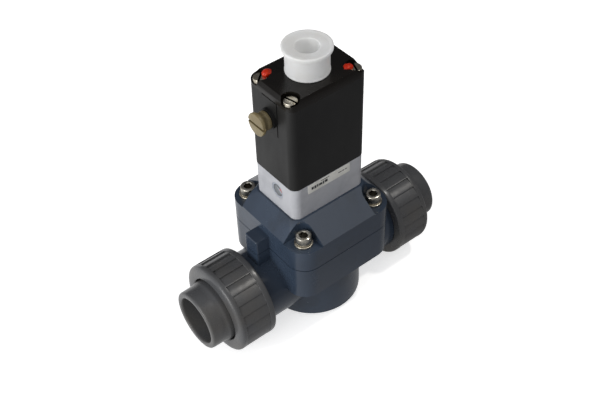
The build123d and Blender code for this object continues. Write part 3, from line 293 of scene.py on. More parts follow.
def rounded(corners, steps=5):
    """A profile whose corners (along, out, setback in mm) are rounded by their setback."""
    points, count = [], len(corners)
    for i, (along, out, setback) in enumerate(corners):
        here = Vector((along, out))
        if setback <= 0:
            points.append(here)
            continue
        back = Vector(corners[i - 1][:2]) - here
        ahead = Vector(corners[(i + 1) % count][:2]) - here
        start = here + back.normalized() * min(setback * mm, back.length * 0.49)
        end = here + ahead.normalized() * min(setback * mm, ahead.length * 0.49)
        for k in range(steps + 1):
            t = k / steps
            points.append(start * (1 - t) ** 2 + here * 2 * t * (1 - t) + end * t**2)
    return points


def lathe(name, profile, material, centre=(0, 0, 0), axis="Z", segments=96):
    """Turns a closed (along, out) profile about an axis through centre into a closed solid."""
    frame_of = {
        "Z": (Vector((0, 0, 1)), Vector((1, 0, 0)), Vector((0, 1, 0))),
        "X": (Vector((1, 0, 0)), Vector((0, 1, 0)), Vector((0, 0, 1))),
    }
    along, side, other = frame_of[axis]
    shape = bmesh.new()
    rings = []
    for p in profile:
        base = Vector(centre) + along * p.x
        if p.y < 1e-7:
            rings.append([shape.verts.new(base)])
            continue
        turn = [i * tau / segments for i in range(segments)]
        rings.append([shape.verts.new(base + (side * cos(a) + other * sin(a)) * p.y) for a in turn])
    for one, two in zip(rings, rings[1:] + rings[:1]):
        for i in range(segments):
            j = (i + 1) % segments
            corners = [one[i % len(one)], one[j % len(one)], two[j % len(two)], two[i % len(two)]]
            if len(one) == 1 and len(two) == 1:
                continue
            if len(one) == 1:
                corners = [one[0], two[j], two[i]]
            if len(two) == 1:
                corners = [one[i], one[j], two[0]]
            shape.faces.new(corners)
    bmesh.ops.remove_doubles(shape, verts=shape.verts, dist=1e-7)
    bmesh.ops.recalc_face_normals(shape, faces=shape.faces)
    return keep_shape(name, shape, material)


def keep_shape(name, shape, material, sharp=32):
    """Writes a bmesh out as a smooth-shaded object with its sharp edges marked."""
    mesh = bpy.data.meshes.new(name)
    shape.to_mesh(mesh)
    shape.free()
    mesh.materials.append(material)
    mesh.shade_smooth()
    mesh.set_sharp_from_angle(angle=radians(sharp))
    piece = bpy.data.objects.new(name, mesh)
    scene.collection.objects.link(piece)
    return piece


def new_tree(name, sizes):
    """A geometry tree with one geometry input and the named size inputs."""
    tree = bpy.data.node_groups.new(name, "GeometryNodeTree")
    tree.interface.new_socket("Geometry", in_out="INPUT", socket_type="NodeSocketGeometry")
    for size_name, kind in sizes:
        tree.interface.new_socket(size_name, in_out="INPUT", socket_type=kind)
    tree.interface.new_socket("Geometry", in_out="OUTPUT", socket_type="NodeSocketGeometry")
    return tree, tree.nodes.new("NodeGroupInput"), tree.nodes.new("NodeGroupOutput")


def run_tree(maker, tree, values, name, sharp=32):
    """Runs a tree on its maker and turns the result into one plain mesh object."""
    modifier = maker.modifiers.new("build", "NODES")
    modifier.node_group = tree
    for socket in tree.interface.items_tree:
        if socket.in_out == "INPUT" and socket.name in values:
            modifier[socket.identifier] = values[socket.name]
    return settle(maker, name, sharp)


def settle(maker, name, sharp=32):
    """Turns what a maker evaluates to into a plain mesh object and drops the maker."""
    bpy.context.view_layer.update()
    graph = bpy.context.evaluated_depsgraph_get()
    mesh = bpy.data.meshes.new_from_object(maker.evaluated_get(graph))
    mesh.shade_smooth()
    mesh.set_sharp_from_angle(angle=radians(sharp))
    bpy.data.objects.remove(maker)
    mesh.name = name
    piece = bpy.data.objects.new(name, mesh)
    scene.collection.objects.link(piece)
    return piece


# the tree adds planks to a turned nut: one plank, repeated round the pipe's axis
plank_tree, plank_in, plank_out = new_tree(
    "grip_planks",
    [
        ("Plank", "NodeSocketObject"),
        ("Count", "NodeSocketInt"),
        ("Axis height", "NodeSocketFloat"),
        ("Finish", "NodeSocketMaterial"),
    ],
)
plank_nodes = plank_tree.nodes
wire = plank_tree.links.new
plank_points = plank_nodes.new("GeometryNodePoints")
plank_source = plank_nodes.new("GeometryNodeObjectInfo")
plank_copies = plank_nodes.new("GeometryNodeInstanceOnPoints")
plank_index = plank_nodes.new("GeometryNodeInputIndex")
plank_share = plank_nodes.new("ShaderNodeMath")
plank_share.operation = "DIVIDE"
plank_angle = plank_nodes.new("ShaderNodeMath")
plank_angle.operation = "MULTIPLY"
plank_angle.inputs[1].default_value = tau
plank_turn = plank_nodes.new("ShaderNodeCombineXYZ")
plank_lift = plank_nodes.new("ShaderNodeCombineXYZ")
plank_place = plank_nodes.new("GeometryNodeTransform")
plank_join = plank_nodes.new("GeometryNodeJoinGeometry")
plank_real = plank_nodes.new("GeometryNodeRealizeInstances")
plank_finish = plank_nodes.new("GeometryNodeSetMaterial")
wire(plank_in.outputs["Count"], plank_points.inputs["Count"])
wire(plank_in.outputs["Plank"], plank_source.inputs["Object"])
wire(plank_index.outputs[0], plank_share.inputs[0])
wire(plank_in.outputs["Count"], plank_share.inputs[1])
wire(plank_share.outputs[0], plank_angle.inputs[0])
wire(plank_angle.outputs[0], plank_turn.inputs["X"])
wire(plank_points.outputs[0], plank_copies.inputs["Points"])
wire(plank_source.outputs["Geometry"], plank_copies.inputs["Instance"])
wire(plank_turn.outputs[0], plank_copies.inputs["Rotation"])
wire(plank_in.outputs["Axis height"], plank_lift.inputs["Z"])
wire(plank_copies.outputs[0], plank_place.inputs["Geometry"])
wire(plank_lift.outputs[0], plank_place.inputs["Translation"])
wire(plank_in.outputs["Geometry"], plank_join.inputs["Geometry"])
wire(plank_place.outputs[0], plank_join.inputs["Geometry"])
wire(plank_join.outputs[0], plank_real.inputs["Geometry"])
wire(plank_real.outputs[0], plank_finish.inputs["Geometry"])
wire(plank_in.outputs["Finish"], plank_finish.inputs["Material"])
wire(plank_finish.outputs[0], plank_out.inputs["Geometry"])


def plank_shape(name, back_x, front_x):
    """One plank about the X axis: low at its own edge, full height at the next."""
    shape = bmesh.new()
    pitch = tau / plank_count
    floor_r = nut_r - 2.4 * mm
    outline = [
        (0.0, floor_r),
        (0.0, nut_r - plank_step),
        (0.3, nut_r - plank_step * 0.6),
        (0.6, nut_r - plank_step * 0.24),
        (0.86, nut_r - 0.06 * mm),
        (0.93, nut_r),
        (0.985, nut_r - 0.03 * mm),
        (1.0, nut_r - 0.16 * mm),
        (1.0, floor_r),
    ]
    ends = [
        [shape.verts.new((x, r * cos(a * pitch), r * sin(a * pitch))) for a, r in outline]
        for x in (back_x, front_x)
    ]
    count = len(outline)
    for i in range(count):
        j = (i + 1) % count
        shape.faces.new((ends[0][i], ends[0][j], ends[1][j], ends[1][i]))
    shape.faces.new(list(reversed(ends[0])))
    shape.faces.new(ends[1])
    bmesh.ops.recalc_face_normals(shape, faces=shape.faces)
    return keep_shape(name, shape, pvc_dark)


for side, tag in ((-1, "inlet"), (1, "outlet")):
    low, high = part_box(f"union_nut_{tag}")
    back = (low.x if side > 0 else high.x) * side
    front = (high.x if side > 0 else low.x) * side
    flange_low, flange_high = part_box(f"union_end_{tag}")
    flange_r = (flange_high.z - flange_low.z) / 2
    thread_r = flange_r + 0.6 * mm
    mouth_r = flange_r - 1.3 * mm
    lip = front - 5.0 * mm
    recess_r = nut_r - 1.9 * mm
    profile = rounded(
        [
            (back, thread_r, 0.6),
            (back, nut_r, 1.6),
            (back + rim_w, nut_r, 0.35),
            (back + rim_w, recess_r, 0),
            (front - rim_w, recess_r, 0),
            (front - rim_w, nut_r, 0.35),
            (front - 1.2 * mm, nut_r - 0.1 * mm, 2.2),
            (front, nut_r - 3.2 * mm, 2.4),
            (front, mouth_r, 1.2),
            (lip, mouth_r, 0.3),
            (lip, thread_r, 0.3),
        ]
    )
    turned = lathe(
        "nut_turning", [Vector((p.x * side, p.y)) for p in profile], pvc_dark,
        (0, 0, pipe_z), "X", plank_count * 6,
    )
    ends_x = sorted((side * (back + rim_w - 0.2 * mm), side * (front - rim_w + 0.2 * mm)))
    plank = plank_shape("plank_pattern", *ends_x)
    nut = run_tree(
        turned, plank_tree,
        {"Plank": plank, "Count": plank_count, "Axis height": pipe_z, "Finish": pvc_dark},
        f"grip_nut_{tag}",
    )
    bpy.data.objects.remove(plank)
    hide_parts(f"union_nut_{tag}")
    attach(nut, f"{tag}_nut")

# ---- union ends --------------------------------------------------------------------------------
# Each end is a turned-looking PVC moulding: a flange held in the nut, a slightly thicker collar,
# and a plain socket with a rounded mouth, where the pipe is cemented in.

for side, tag in ((-1, "inlet"), (1, "outlet")):
    low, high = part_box(f"union_end_{tag}")
    inner = (low.x if side > 0 else high.x) * side
    mouth = (high.x if side > 0 else low.x) * side
    flange_r = (high.z - low.z) / 2
    wall_r = flange_r - 3.2 * mm
    collar_r = flange_r - 2.3 * mm
    socket_r = wall_r - 4.3 * mm
    pipe_r = socket_r - 2.6 * mm
    profile = rounded(
        [
            (inner, pipe_r, 0.4),
            (inner, flange_r, 0.5),
            (inner + 3.6 * mm, flange_r, 0.6),
            (inner + 3.6 * mm, collar_r, 0.5),
            (inner + 11.0 * mm, collar_r, 0.8),
            (inner + 13.4 * mm, wall_r + 0.15 * mm, 1.6),
            (mouth, wall_r - 0.1 * mm, 1.7),
            (mouth, socket_r + 0.5 * mm, 0.9),
            (mouth - 1.2 * mm, socket_r, 0.6),
            (mouth - 22 * mm, socket_r - 0.05 * mm, 0.5),
            (mouth - 22 * mm, pipe_r, 0.5),
        ]
    )
    socket = lathe(
        f"cement_socket_{tag}", [Vector((p.x * side, p.y)) for p in profile], pvc_dark,
        (0, 0, pipe_z), "X", 128,
    )
    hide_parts(f"union_end_{tag}")
    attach(socket, f"{tag}_end")

# ---- bonnet screws -----------------------------------------------------------------------------
# Four M6 hexagon socket screws in bright stainless steel, with knurled heads and a worn shine,
# pull the bonnet down. Each head has a rounded rim and stands on its washer.


def grime(material, code, share):
    """Darkens the faces that a mesh's own 'grime' attribute marks, as painted shade in hollows."""
    nodes, links = material.node_tree.nodes, material.node_tree.links
    mark = nodes.new("ShaderNodeAttribute")
    mark.attribute_name = "grime"
    field = spread_range(material, mark.outputs["Fac"], 0, share, 0, 1)
    mix = nodes.new("ShaderNodeMix")
    mix.data_type = "RGBA"
    base = nodes["Principled BSDF"].inputs["Base Color"]
    links.new(base.links[0].from_socket, mix.inputs["A"])
    mix.inputs["B"].default_value = shade(code)
    links.new(field, mix.inputs["Factor"])
    links.new(mix.outputs["Result"], base)


def mark_recess_shade(piece, inside):
    """Marks the faces whose middle is inside the given test, for painted shade."""
    mark = piece.data.attributes.new("grime", "FLOAT", "FACE")
    marks = [1.0 if inside(face.center) else 0.0 for face in piece.data.polygons]
    mark.data.foreach_set("value", marks)
    return piece


bright_steel = finish_of("bright_stainless", "#c4c0b5", 0.2, Metallic=1.0)
mottle(bright_steel, "#9c9687", 300, 0.45, 0.7)
# painted shade: the marked socket wells are darkened towards a dark brown
grime(bright_steel, "#2a261e", 0.8)
sheen_drift(bright_steel, 0.14, 0.34, 420)
relief(bright_steel, cloud(bright_steel, 2500, 2.0), 0.12, 0.00005)

steel_washer = finish_of("washer_stainless", "#c4beb0", 0.24, Metallic=1.0)
mottle(steel_washer, "#9b9484", 350, 0.45, 0.7)
sheen_drift(steel_washer, 0.2, 0.4, 500)
dress("bonnet_washers", steel_washer, 0.35)


def seat_tree(name):
    """A tree that sets a pattern on points, each turned by the points' own 'turn' value."""
    tree, given, result = new_tree(
        name, [("Pattern", "NodeSocketObject"), ("Finish", "NodeSocketMaterial")]
    )
    node, join = tree.nodes.new, tree.links.new
    source = node("GeometryNodeObjectInfo")
    copies = node("GeometryNodeInstanceOnPoints")
    turn = node("GeometryNodeInputNamedAttribute")
    turn.data_type = "FLOAT"
    turn.inputs["Name"].default_value = "turn"
    swing = node("ShaderNodeCombineXYZ")
    real = node("GeometryNodeRealizeInstances")
    paint = node("GeometryNodeSetMaterial")
    join(given.outputs["Pattern"], source.inputs["Object"])
    join(turn.outputs["Attribute"], swing.inputs["Z"])
    join(given.outputs["Geometry"], copies.inputs["Points"])
    join(source.outputs["Geometry"], copies.inputs["Instance"])
    join(swing.outputs[0], copies.inputs["Rotation"])
    join(copies.outputs[0], real.inputs["Geometry"])
    join(real.outputs[0], paint.inputs["Geometry"])
    join(given.outputs["Finish"], paint.inputs["Material"])
    join(paint.outputs[0], result.inputs["Geometry"])
    return tree


def seats(name, places, turns):
    """Bare points that carry the turn, in degrees, of what will stand on them."""
    mesh = bpy.data.meshes.new(name)
    mesh.from_pydata(places, [], [])
    turn = mesh.attributes.new("turn", "FLOAT", "POINT")
    turn.data.foreach_set("value", [radians(t) for t in turns])
    maker = bpy.data.objects.new(name, mesh)
    scene.collection.objects.link(maker)
    return maker


def cut(piece, cutter):
    """Cuts one closed solid out of another and drops the cutter."""
    saw = piece.modifiers.new("cut", "BOOLEAN")
    saw.operation = "DIFFERENCE"
    saw.solver = "EXACT"
    saw.object = cutter
    done = settle(piece, piece.name + "_cut")
    bpy.data.objects.remove(cutter)
    return done


def prism(name, sides, radius, low, high, material):
    """A plain upright prism, used as a cutter."""
    shape = bmesh.new()
    angles = [i * tau / sides for i in range(sides)]
    rings = [
        [shape.verts.new((radius * cos(a), radius * sin(a), z)) for a in angles]
        for z in (low, high)
    ]
    for i in range(sides):
        j = (i + 1) % sides
        shape.faces.new((rings[0][i], rings[0][j], rings[1][j], rings[1][i]))
    shape.faces.new(list(reversed(rings[0])))
    shape.faces.new(rings[1])
    return keep_shape(name, shape, material)


hex_low, hex_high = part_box("bonnet_screws")
head_r = 5.0 * mm
head_h = 6.0 * mm
head_base = hex_high.z - head_h
shank_r = 3.0 * mm
screw_x = hex_high.x - head_r
screw_y = hex_high.y - head_r
knurls = 36
steps_per_knurl = 4
knurl_depth = 0.16 * mm
socket_depth = 3.0 * mm


def cap_screw_pattern():
    """One socket screw, standing on its own seat: knurled head, hexagon socket and shank."""
    shape = bmesh.new()
    steps = knurls * steps_per_knurl
    levels = [
        (hex_low.z - head_base, shank_r * 0.8, 0.0),
        (hex_low.z - head_base + 0.6 * mm, shank_r, 0.0),
        (-0.02 * mm, shank_r, 0.0),
        (0.0, head_r - 0.35 * mm, 0.0),
        (0.25 * mm, head_r, 0.4),
        (0.5 * mm, head_r, 1.0),
        (head_h - 1.3 * mm, head_r, 1.0),
        (head_h - 0.8 * mm, head_r - 0.03 * mm, 0.3),
        (head_h - 0.35 * mm, head_r - 0.25 * mm, 0.0),
        (head_h - 0.08 * mm, head_r - 0.7 * mm, 0.0),
        (head_h, head_r - 1.2 * mm, 0.0),
    ]
    rings = []
    for z, r, depth in levels:
        ring = []
        for i in range(steps):
            angle = i * tau / steps
            groove = knurl_depth * depth if i % steps_per_knurl == 0 else 0.0
            ring.append(shape.verts.new(((r - groove) * cos(angle), (r - groove) * sin(angle), z)))
        rings.append(ring)
    for one, two in zip(rings, rings[1:]):
        for i in range(steps):
            j = (i + 1) % steps
            shape.faces.new((one[i], one[j], two[j], two[i]))
    shape.faces.new(list(reversed(rings[0])))
    shape.faces.new(rings[-1])
    screw = keep_shape("cap_screw", shape, bright_steel, 30)
    key_r = 2.5 * mm / cos(pi / 6)
    hexagon = prism("hex_key", 6, key_r, head_h - socket_depth, head_h + 2 * mm, bright_steel)
    mouth = lathe(
        "key_mouth",
        [Vector((head_h - 0.45 * mm, 0)), Vector((head_h + 0.3 * mm, 0)),
         Vector((head_h + 0.3 * mm, 3.3 * mm)), Vector((head_h - 0.45 * mm, 2.5 * mm))],
        bright_steel, segments=48,
    )
    socketed = cut(cut(screw, hexagon), mouth)
    # the hexagon socket's walls are marked for painted shade
    return mark_recess_shade(
        socketed,
        lambda c: head_h - 3.1 * mm < c.z < head_h - 0.6 * mm and c.xy.length < 2.95 * mm,
    )


cap_screw = cap_screw_pattern()
bonnet_seats = seats(
    "bonnet_seats",
    [(sx * screw_x, sy * screw_y, head_base) for sx in (-1, 1) for sy in (-1, 1)],
    (12, 35, 8, 50),
)
bonnet_caps = run_tree(
    bonnet_seats, seat_tree("bonnet_screw_seats"),
    {"Pattern": cap_screw, "Finish": bright_steel}, "bonnet_cap_screws", 30,
)
bpy.data.objects.remove(cap_screw)
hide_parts("bonnet_screws")
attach(bonnet_caps, "valve")

# ---- pilot body and label ----------------------------------------------------------------------
# The pilot body is a milky, slightly see-through moulding, so light bleeds into its edges. A
# printed silver strip is stuck under its top edge; the print here is plain bars, not words.

milky = finish_of(
    "milky_plastic", "#a5a7ac", 0.34,
    Subsurface_Weight=0.3, Subsurface_Scale=0.004, Subsurface_Radius=(1.0, 1.0, 1.0),
    Specular_IOR_Level=0.45,
)
mottle(milky, "#b4b5b9", 30, 0.42, 0.7)
mottle(milky, "#9a9ba0", 80, 0.5, 0.75)
sheen_drift(milky, 0.28, 0.46, 60)
relief(milky, cloud(milky, 500, 2.0), 0.08, 0.0002)
dress("pilot_body", milky, 0.35)

label_film = finish_of("label_film", "#dcdbd5", 0.42, Specular_IOR_Level=0.5)
mottle(label_film, "#c9c8c1", 120, 0.4, 0.7)
relief(label_film, cloud(label_film, 700, 2.0), 0.05, 0.0001)
dress("rating_label", label_film, 0.05)
print_ink = finish_of("label_ink", "#1c1c1e", 0.5)
mottle(print_ink, "#2b2b2d", 900, 0.4, 0.7)

label_low, label_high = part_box("rating_label")
label_face = label_low.y
bars = bmesh.new()
# each bar's left, right, bottom and top, as shares of the strip's width and height
for start, end, low, high in (
    (0.08, 0.13, 0.34, 0.66), (0.145, 0.19, 0.3, 0.66), (0.205, 0.24, 0.34, 0.66),
    (0.255, 0.33, 0.34, 0.62), (0.345, 0.38, 0.3, 0.66), (0.395, 0.46, 0.34, 0.66),
    (0.3, 0.5, 0.78, 0.86), (0.72, 0.8, 0.52, 0.62), (0.815, 0.86, 0.5, 0.62),
    (0.875, 0.93, 0.52, 0.62),
):
    x0 = label_low.x + (label_high.x - label_low.x) * start
    x1 = label_low.x + (label_high.x - label_low.x) * end
    z0 = label_low.z + (label_high.z - label_low.z) * low
    z1 = label_low.z + (label_high.z - label_low.z) * high
    slab = [
        bars.verts.new((x, y, z))
        for y in (label_face - 0.02 * mm, label_face + 0.05 * mm)
        for x, z in ((x0, z0), (x1, z0), (x1, z1), (x0, z1))
    ]
    bars.faces.new(slab[:4])
    bars.faces.new(slab[7:3:-1])
    for i in range(4):
        j = (i + 1) % 4
        bars.faces.new((slab[i], slab[i + 4], slab[j + 4], slab[j]))
bmesh.ops.recalc_face_normals(bars, faces=bars.faces)
label_print = keep_shape("label_print", bars, print_ink)
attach(label_print, "valve")

# ---- position indicator ------------------------------------------------------------------------
# A round clear pane in the pilot body's side covers a two-coloured hand, black on one half and
# red on the other, in front of a grey dial. A thin collar of the same grey frames the pane.

pane_low, pane_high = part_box("indicator_window")
dial_y = (pane_low.y + pane_high.y) / 2
dial_z = (pane_low.z + pane_high.z) / 2
pane_r = (pane_high.z - pane_low.z) / 2
clear_pane = finish_of("clear_pane", "#dfe6ea", 0.05, Alpha=0.1)
relief(clear_pane, cloud(clear_pane, 300, 2.0), 0.04, 0.0001)
pane = lathe(
    "indicator_pane",
    rounded([
        (pane_low.x, 0, 0), (pane_low.x + 0.05 * mm, pane_r - 1.1 * mm, 0.3),
        (pane_low.x, pane_r - 1.0 * mm, 0.2), (pane_low.x, pane_r, 0.2),
        (pane_high.x, pane_r, 0.1), (pane_high.x, 0, 0),
    ]),
    clear_pane, (0, dial_y, dial_z), "X", 64,
)
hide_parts("indicator_window")
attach(pane, "valve")

dial_grey = finish_of("dial_ring", "#9ba0a8", 0.4)
mottle(dial_grey, "#8d949e", 400)
ring = lathe(
    "indicator_ring",
    rounded([
        (pane_low.x - 0.25 * mm, pane_r - 1.1 * mm, 0.15),
        (pane_low.x - 0.3 * mm, pane_r - 0.05 * mm, 0.15),
        (pane_low.x - 0.02 * mm, pane_r, 0.0), (pane_low.x - 0.02 * mm, pane_r - 1.2 * mm, 0.0),
    ]),
    dial_grey, (0, dial_y, dial_z), "X", 64,
)
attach(ring, "valve")

hand_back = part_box("indicator_hand_black")[1].x
dial = lathe(
    "indicator_dial",
    [
        Vector((hand_back + 0.25 * mm, 0)), Vector((hand_back + 0.25 * mm, pane_r - 0.2 * mm)),
        Vector((hand_back + 0.5 * mm, pane_r - 0.2 * mm)), Vector((hand_back + 0.5 * mm, 0)),
    ],
    dial_grey, (0, dial_y, dial_z), "X", 64,
)
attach(dial, "valve")

hand_black = finish_of("hand_black", "#121214", 0.45)
mottle(hand_black, "#1c1c20", 800)
hand_red = finish_of("hand_red", "#c0281c", 0.42)
mottle(hand_red, "#a81f14", 800)
dress("indicator_hand_black", hand_black, 0.08)
dress("indicator_hand_red", hand_red, 0.08)

# ---- coil housing and lid ----------------------------------------------------------------------
# The coil sits in a satin black resin housing, closed by a lid with a steep bevel all round and
# a round well at each long screw. Handling leaves faint lighter scuffs on the faces.

satin_black = finish_of("satin_black_resin", "#161616", 0.46, Specular_IOR_Level=0.28)
mottle(satin_black, "#1f1f1e", 18, 0.42, 0.75)
sheen_drift(satin_black, 0.42, 0.58, 35, stretch=(1, 1, 0.35))
relief(satin_black, cloud(satin_black, 1400, 3.0), 0.16, 0.00012)
relief(satin_black, cloud(satin_black, 30, 1.0), 0.12, 0.0006)
dress("coil_housing", satin_black, 0.5, steps=3)
dress("override_panel", satin_black, 0.25)

lid_black = finish_of("lid_black_resin", "#0f0d0b", 0.24, Specular_IOR_Level=0.26)
mottle(lid_black, "#181512", 28, 0.4, 0.75)
sheen_drift(lid_black, 0.2, 0.36, 45)
relief(lid_black, cloud(lid_black, 1400, 3.0), 0.14, 0.0001)
dress("housing_lid", lid_black, 0.35)
dress("plug_collar", lid_black, 0.3)

# ---- long screws -------------------------------------------------------------------------------
# Four M5 slotted cheese-head screws go from the lid right down into the bonnet. They are nickel
# plated, and the plating has a warm, slightly uneven shine. The slots are painted darker, as
# painted shade.

nickel = finish_of("nickel_plate", "#c6c0b2", 0.22, Metallic=1.0)
mottle(nickel, "#b0a68f", 280, 0.45, 0.7)
# painted shade: the marked slot walls are darkened almost to black
grime(nickel, "#14110c", 0.95)
sheen_drift(nickel, 0.16, 0.34, 380)
relief(nickel, cloud(nickel, 2200, 2.0), 0.12, 0.00005)

long_low, long_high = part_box("coil_screws")
cheese_r = 4.25 * mm
cheese_h = 2.9 * mm
cheese_base = long_high.z - cheese_h
long_x = long_high.x - cheese_r
long_y = long_high.y - cheese_r
cheese = lathe(
    "cheese_head",
    rounded([
        (long_low.z - cheese_base, 0, 0), (long_low.z - cheese_base, 2.5 * mm, 0.6),
        (0, 2.5 * mm, 0.1), (0, cheese_r, 0.25),
        (cheese_h - 0.12 * mm, cheese_r - 0.02 * mm, 0.5), (cheese_h, 2.0 * mm, 0.5),
        (cheese_h, 0, 0),
    ]),
    nickel, segments=72,
)
slot_w = 1.3 * mm
slot_shape = bmesh.new()
bmesh.ops.create_cube(slot_shape, size=1)
bmesh.ops.scale(slot_shape, vec=(12 * mm, slot_w, 4.0 * mm), verts=slot_shape.verts)
bmesh.ops.translate(slot_shape, vec=(0, 0, cheese_h), verts=slot_shape.verts)
cheese = cut(cheese, keep_shape("slot_saw", slot_shape, nickel))
# the slot's walls and floor are marked for painted shade
mark_recess_shade(
    cheese,
    lambda c: abs(c.y) < slot_w * 0.52 and cheese_h - 2.2 * mm < c.z < cheese_h - 0.05 * mm,
)
long_seats = seats(
    "long_seats",
    [(sx * long_x, sy * long_y, cheese_base) for sx in (-1, 1) for sy in (-1, 1)],
    (-75, 40, 70, 10),
)
long_screws = run_tree(
    long_seats, seat_tree("long_screw_seats"), {"Pattern": cheese, "Finish": nickel},
    "long_slotted_screws", 30,
)
bpy.data.objects.remove(cheese)
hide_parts("coil_screws")
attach(long_screws, "valve")

# ---- tamper seals ------------------------------------------------------------------------------
# A drop of red sealing lacquer bridges each of two long screws and the lid, and shows if anyone
# has turned them. It set in a crumpled lump.

lacquer = finish_of("red_lacquer", "#b82003", 0.34, Specular_IOR_Level=0.3)
mottle(lacquer, "#cc3407", 500, 0.45, 0.65)
mottle(lacquer, "#8e1206", 700, 0.55, 0.75)
relief(lacquer, cloud(lacquer, 900, 3.0), 0.4, 0.0003)

seal_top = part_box("tamper_seals")[1].z
# half widths and heights of a lump, in millimetres
lump_x = 3.05
lump_y = 2.6
lump_rise = 1.72
lump_sink = 3.0
lumps = bmesh.new()
for sx, sy in ((-1, 1), (1, -1)):
    inward = Vector((-sx * long_x, -sy * long_y * 0.4, 0)).normalized()
    middle = Vector((sx * long_x, sy * long_y, 0)) + inward * 4.4 * mm
    middle.z = seal_top - 1.75 * mm
    made = bmesh.ops.create_icosphere(lumps, subdivisions=4, radius=1.0)["verts"]
    for vert in made:
        way = vert.co.normalized()
        facet = noise.cell(way * 2.3 + Vector((sx, sy, 0)) * 3) * 0.10
        swell = 1 + 0.16 * noise.noise(way * 1.9 + Vector((5 * sx, 0, 0))) + facet
        reach = lump_rise if way.z > 0 else lump_sink
        spread = Vector((way.x * lump_x, way.y * lump_y, way.z * reach)) * mm
        vert.co = middle + Vector((spread.x * swell, spread.y * swell, spread.z * min(swell, 1.0)))
bmesh.ops.smooth_vert(
    lumps, verts=lumps.verts, factor=0.5, use_axis_x=True, use_axis_y=True, use_axis_z=True
)
seals = keep_shape("lacquer_seals", lumps, lacquer, 50)
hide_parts("tamper_seals")
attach(seals, "valve")

# ---- override knob -----------------------------------------------------------------------------
# The manual override's knob is khaki moulded plastic: a slotted head, a waist and a skirt that
# runs against the panel's boss. It is pressed on the shaft.

khaki = finish_of("khaki_plastic", "#75694c", 0.42, Specular_IOR_Level=0.4)
mottle(khaki, "#7f7456", 120, 0.42, 0.7)
mottle(khaki, "#655b43", 260, 0.55, 0.78)
sheen_drift(khaki, 0.34, 0.52, 200)
relief(khaki, cloud(khaki, 1300, 3.0), 0.15, 0.0001)

knob_low, knob_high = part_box("override_knob")
knob_z = (knob_low.z + knob_high.z) / 2
knob_r = (knob_high.z - knob_low.z) / 2
face = knob_low.x
knob = lathe(
    "override_knob_head",
    rounded([
        (face, 0, 0), (face, knob_r, 0.7), (face + 2.0 * mm, knob_r, 0.6),
        (face + 4.0 * mm, knob_r - 1.6 * mm, 1.2), (face + 5.2 * mm, knob_r - 1.7 * mm, 0.8),
        (knob_high.x - 1.5 * mm, knob_r - 1.4 * mm, 0.6), (knob_high.x, knob_r - 1.6 * mm, 0.3),
        (knob_high.x, 3.05 * mm, 0), (face + 3.0 * mm, 3.05 * mm, 0), (face + 3.0 * mm, 0, 0),
    ]),
    khaki, (0, 0, knob_z), "X", 72,
)
# a screwdriver slot across the head, then a small bevel on every edge
saw = bmesh.new()
bmesh.ops.create_cube(saw, size=1)
bmesh.ops.scale(saw, vec=(3.8 * mm, 20 * mm, 1.7 * mm), verts=saw.verts)
bmesh.ops.translate(saw, vec=(face, 0, knob_z), verts=saw.verts)
knob = cut(knob, keep_shape("knob_saw", saw, khaki))
knob_bevel = knob.modifiers.new("soften", "BEVEL")
knob_bevel.width = 0.2 * mm
knob_bevel.segments = 2
knob_bevel.limit_method = "ANGLE"
knob_bevel.angle_limit = radians(38)
knob = settle(knob, "override_knob_head")
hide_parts("override_knob")
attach(knob, "override")

# ---- transport cap -----------------------------------------------------------------------------
# A thin-walled polyethylene cap guards the plug socket. It is waxy and half see-through: a wide
# dished brim, a deep finger well and a fine bead round its foot. A faint white glow is painted
# light.

waxy = finish_of(
    "waxy_polyethylene", "#bfbfbd", 0.4,
    # painted light: a faint white emission makes the cap glow a little, though it is no lamp
    Emission_Color=shade("#ffffff"), Emission_Strength=0.16,
    Subsurface_Weight=0.7, Subsurface_Scale=0.006, Subsurface_Radius=(1.0, 1.0, 1.0), IOR=1.45,
)
mottle(waxy, "#c6c8ca", 60, 0.42, 0.7)
sheen_drift(waxy, 0.28, 0.44, 120)
relief(waxy, cloud(waxy, 250, 2.0), 0.1, 0.0003)

cap_low, cap_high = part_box("transport_cap")
brim_r = (cap_high.x - cap_low.x) / 2
wall_r = brim_r - 1.95 * mm
well_r = 7.3 * mm
top = cap_high.z
foot = cap_low.z
cap = lathe(
    "transport_cap_shell",
    rounded([
        (top - 10.5 * mm, 0, 0), (top - 10.5 * mm, well_r - 0.6 * mm, 0.9),
        (top - 0.95 * mm, well_r, 0.5), (top - 0.7 * mm, well_r + 1.4 * mm, 0.8),
        (top - 0.45 * mm, brim_r - 2.6 * mm, 0.5), (top, brim_r - 1.0 * mm, 0.7),
        (top - 0.25 * mm, brim_r, 0.5), (top - 2.3 * mm, brim_r - 0.1 * mm, 0.4),
        (top - 2.7 * mm, wall_r, 0.6), (foot + 1.4 * mm, wall_r, 0.2),
        (foot + 1.1 * mm, wall_r + 0.25 * mm, 0.2), (foot, wall_r + 0.25 * mm, 0.3),
        (foot, wall_r - 1.3 * mm, 0.3), (top - 2.9 * mm, wall_r - 1.3 * mm, 0.4),
        (top - 2.9 * mm, well_r + 1.3 * mm, 0.4), (top - 11.8 * mm, well_r + 1.0 * mm, 0.6),
        (top - 11.8 * mm, 0, 0),
    ]),
    waxy, (0, 0, 0), "Z", 96,
)
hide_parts("transport_cap")
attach(cap, "cap")

# ---- what is inside ----------------------------------------------------------------------------
# The seals are black rubber, the inserts brass, and the magnet zinc-plated iron round a copper
# coil. They show only when a union, the cap or a cover is away.

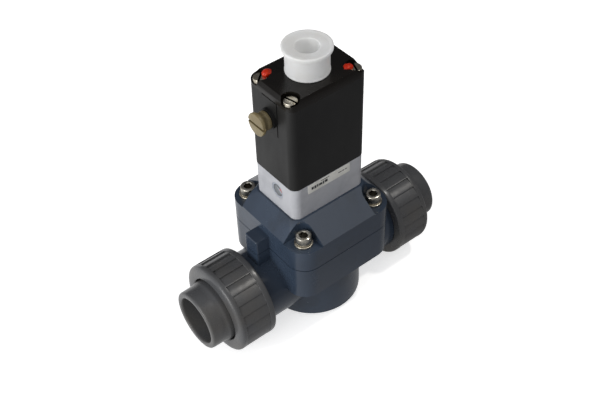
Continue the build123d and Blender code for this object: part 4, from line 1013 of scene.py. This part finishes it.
black_rubber = finish_of("black_rubber", "#161616", 0.72)
mottle(black_rubber, "#1f1f1f", 150)
relief(black_rubber, cloud(black_rubber, 900, 3.0), 0.2, 0.0001)
turned_brass = finish_of("turned_brass", "#c79a4b", 0.26, Metallic=1.0)
mottle(turned_brass, "#a97d35", 250)
sheen_drift(turned_brass, 0.2, 0.38, 300)
zinc_iron = finish_of("zinc_plated_iron", "#a9abad", 0.34, Metallic=1.0)
mottle(zinc_iron, "#8d9094", 180)
sheen_drift(zinc_iron, 0.28, 0.46, 240)
copper = finish_of("enamelled_copper", "#a4552c", 0.3, Metallic=0.9)
mottle(copper, "#8a4320", 400)
nylon = finish_of("natural_nylon", "#d8d2bf", 0.5)
mottle(nylon, "#cbc4ae", 120)
white_pvdf = finish_of("white_pvdf", "#d5d5d1", 0.45)
mottle(white_pvdf, "#c9c9c4", 120)

for node, material, edge in (
    ("foot_inserts", turned_brass, 0.2), ("bonnet_inserts", turned_brass, 0.2),
    ("coil_screw_inserts", turned_brass, 0.2), ("contact_pins", turned_brass, 0.15),
    ("channel_seal", black_rubber, 0), ("union_seal_inlet", black_rubber, 0),
    ("union_seal_outlet", black_rubber, 0), ("main_diaphragm", black_rubber, 0.2),
    ("pilot_diaphragm", black_rubber, 0.2), ("pilot_seals", black_rubber, 0),
    ("shaft_seal", black_rubber, 0), ("lid_gasket", black_rubber, 0.1),
    ("seat_disc", black_rubber, 0.2), ("diaphragm_plate", white_pvdf, 0.2),
    ("pilot_retainer", white_pvdf, 0.2), ("coil_bobbin", nylon, 0.2),
    ("coil_winding", copper, 0.2), ("guide_tube", bright_steel, 0.1),
    ("fixed_core", zinc_iron, 0.2), ("core_nut", nickel, 0.2),
    ("yoke_frame", zinc_iron, 0.2), ("yoke_plate", zinc_iron, 0.2),
    ("plunger", zinc_iron, 0.15), ("pull_rod", bright_steel, 0.15),
    ("centre_screw", bright_steel, 0.15), ("override_shaft", bright_steel, 0.15),
    ("indicator_shaft", bright_steel, 0.05), ("main_spring", bright_steel, 0),
    ("plunger_spring", bright_steel, 0),
):
    dress(node, material, edge)

# each spring, listed with its joint and travel, gets a mesh of its own
for node, joint, travel in (
    ("main_spring", "main_lift", 5.0 * mm), ("plunger_spring", "plunger_lift", 2.0 * mm),
):
    low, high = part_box(node)
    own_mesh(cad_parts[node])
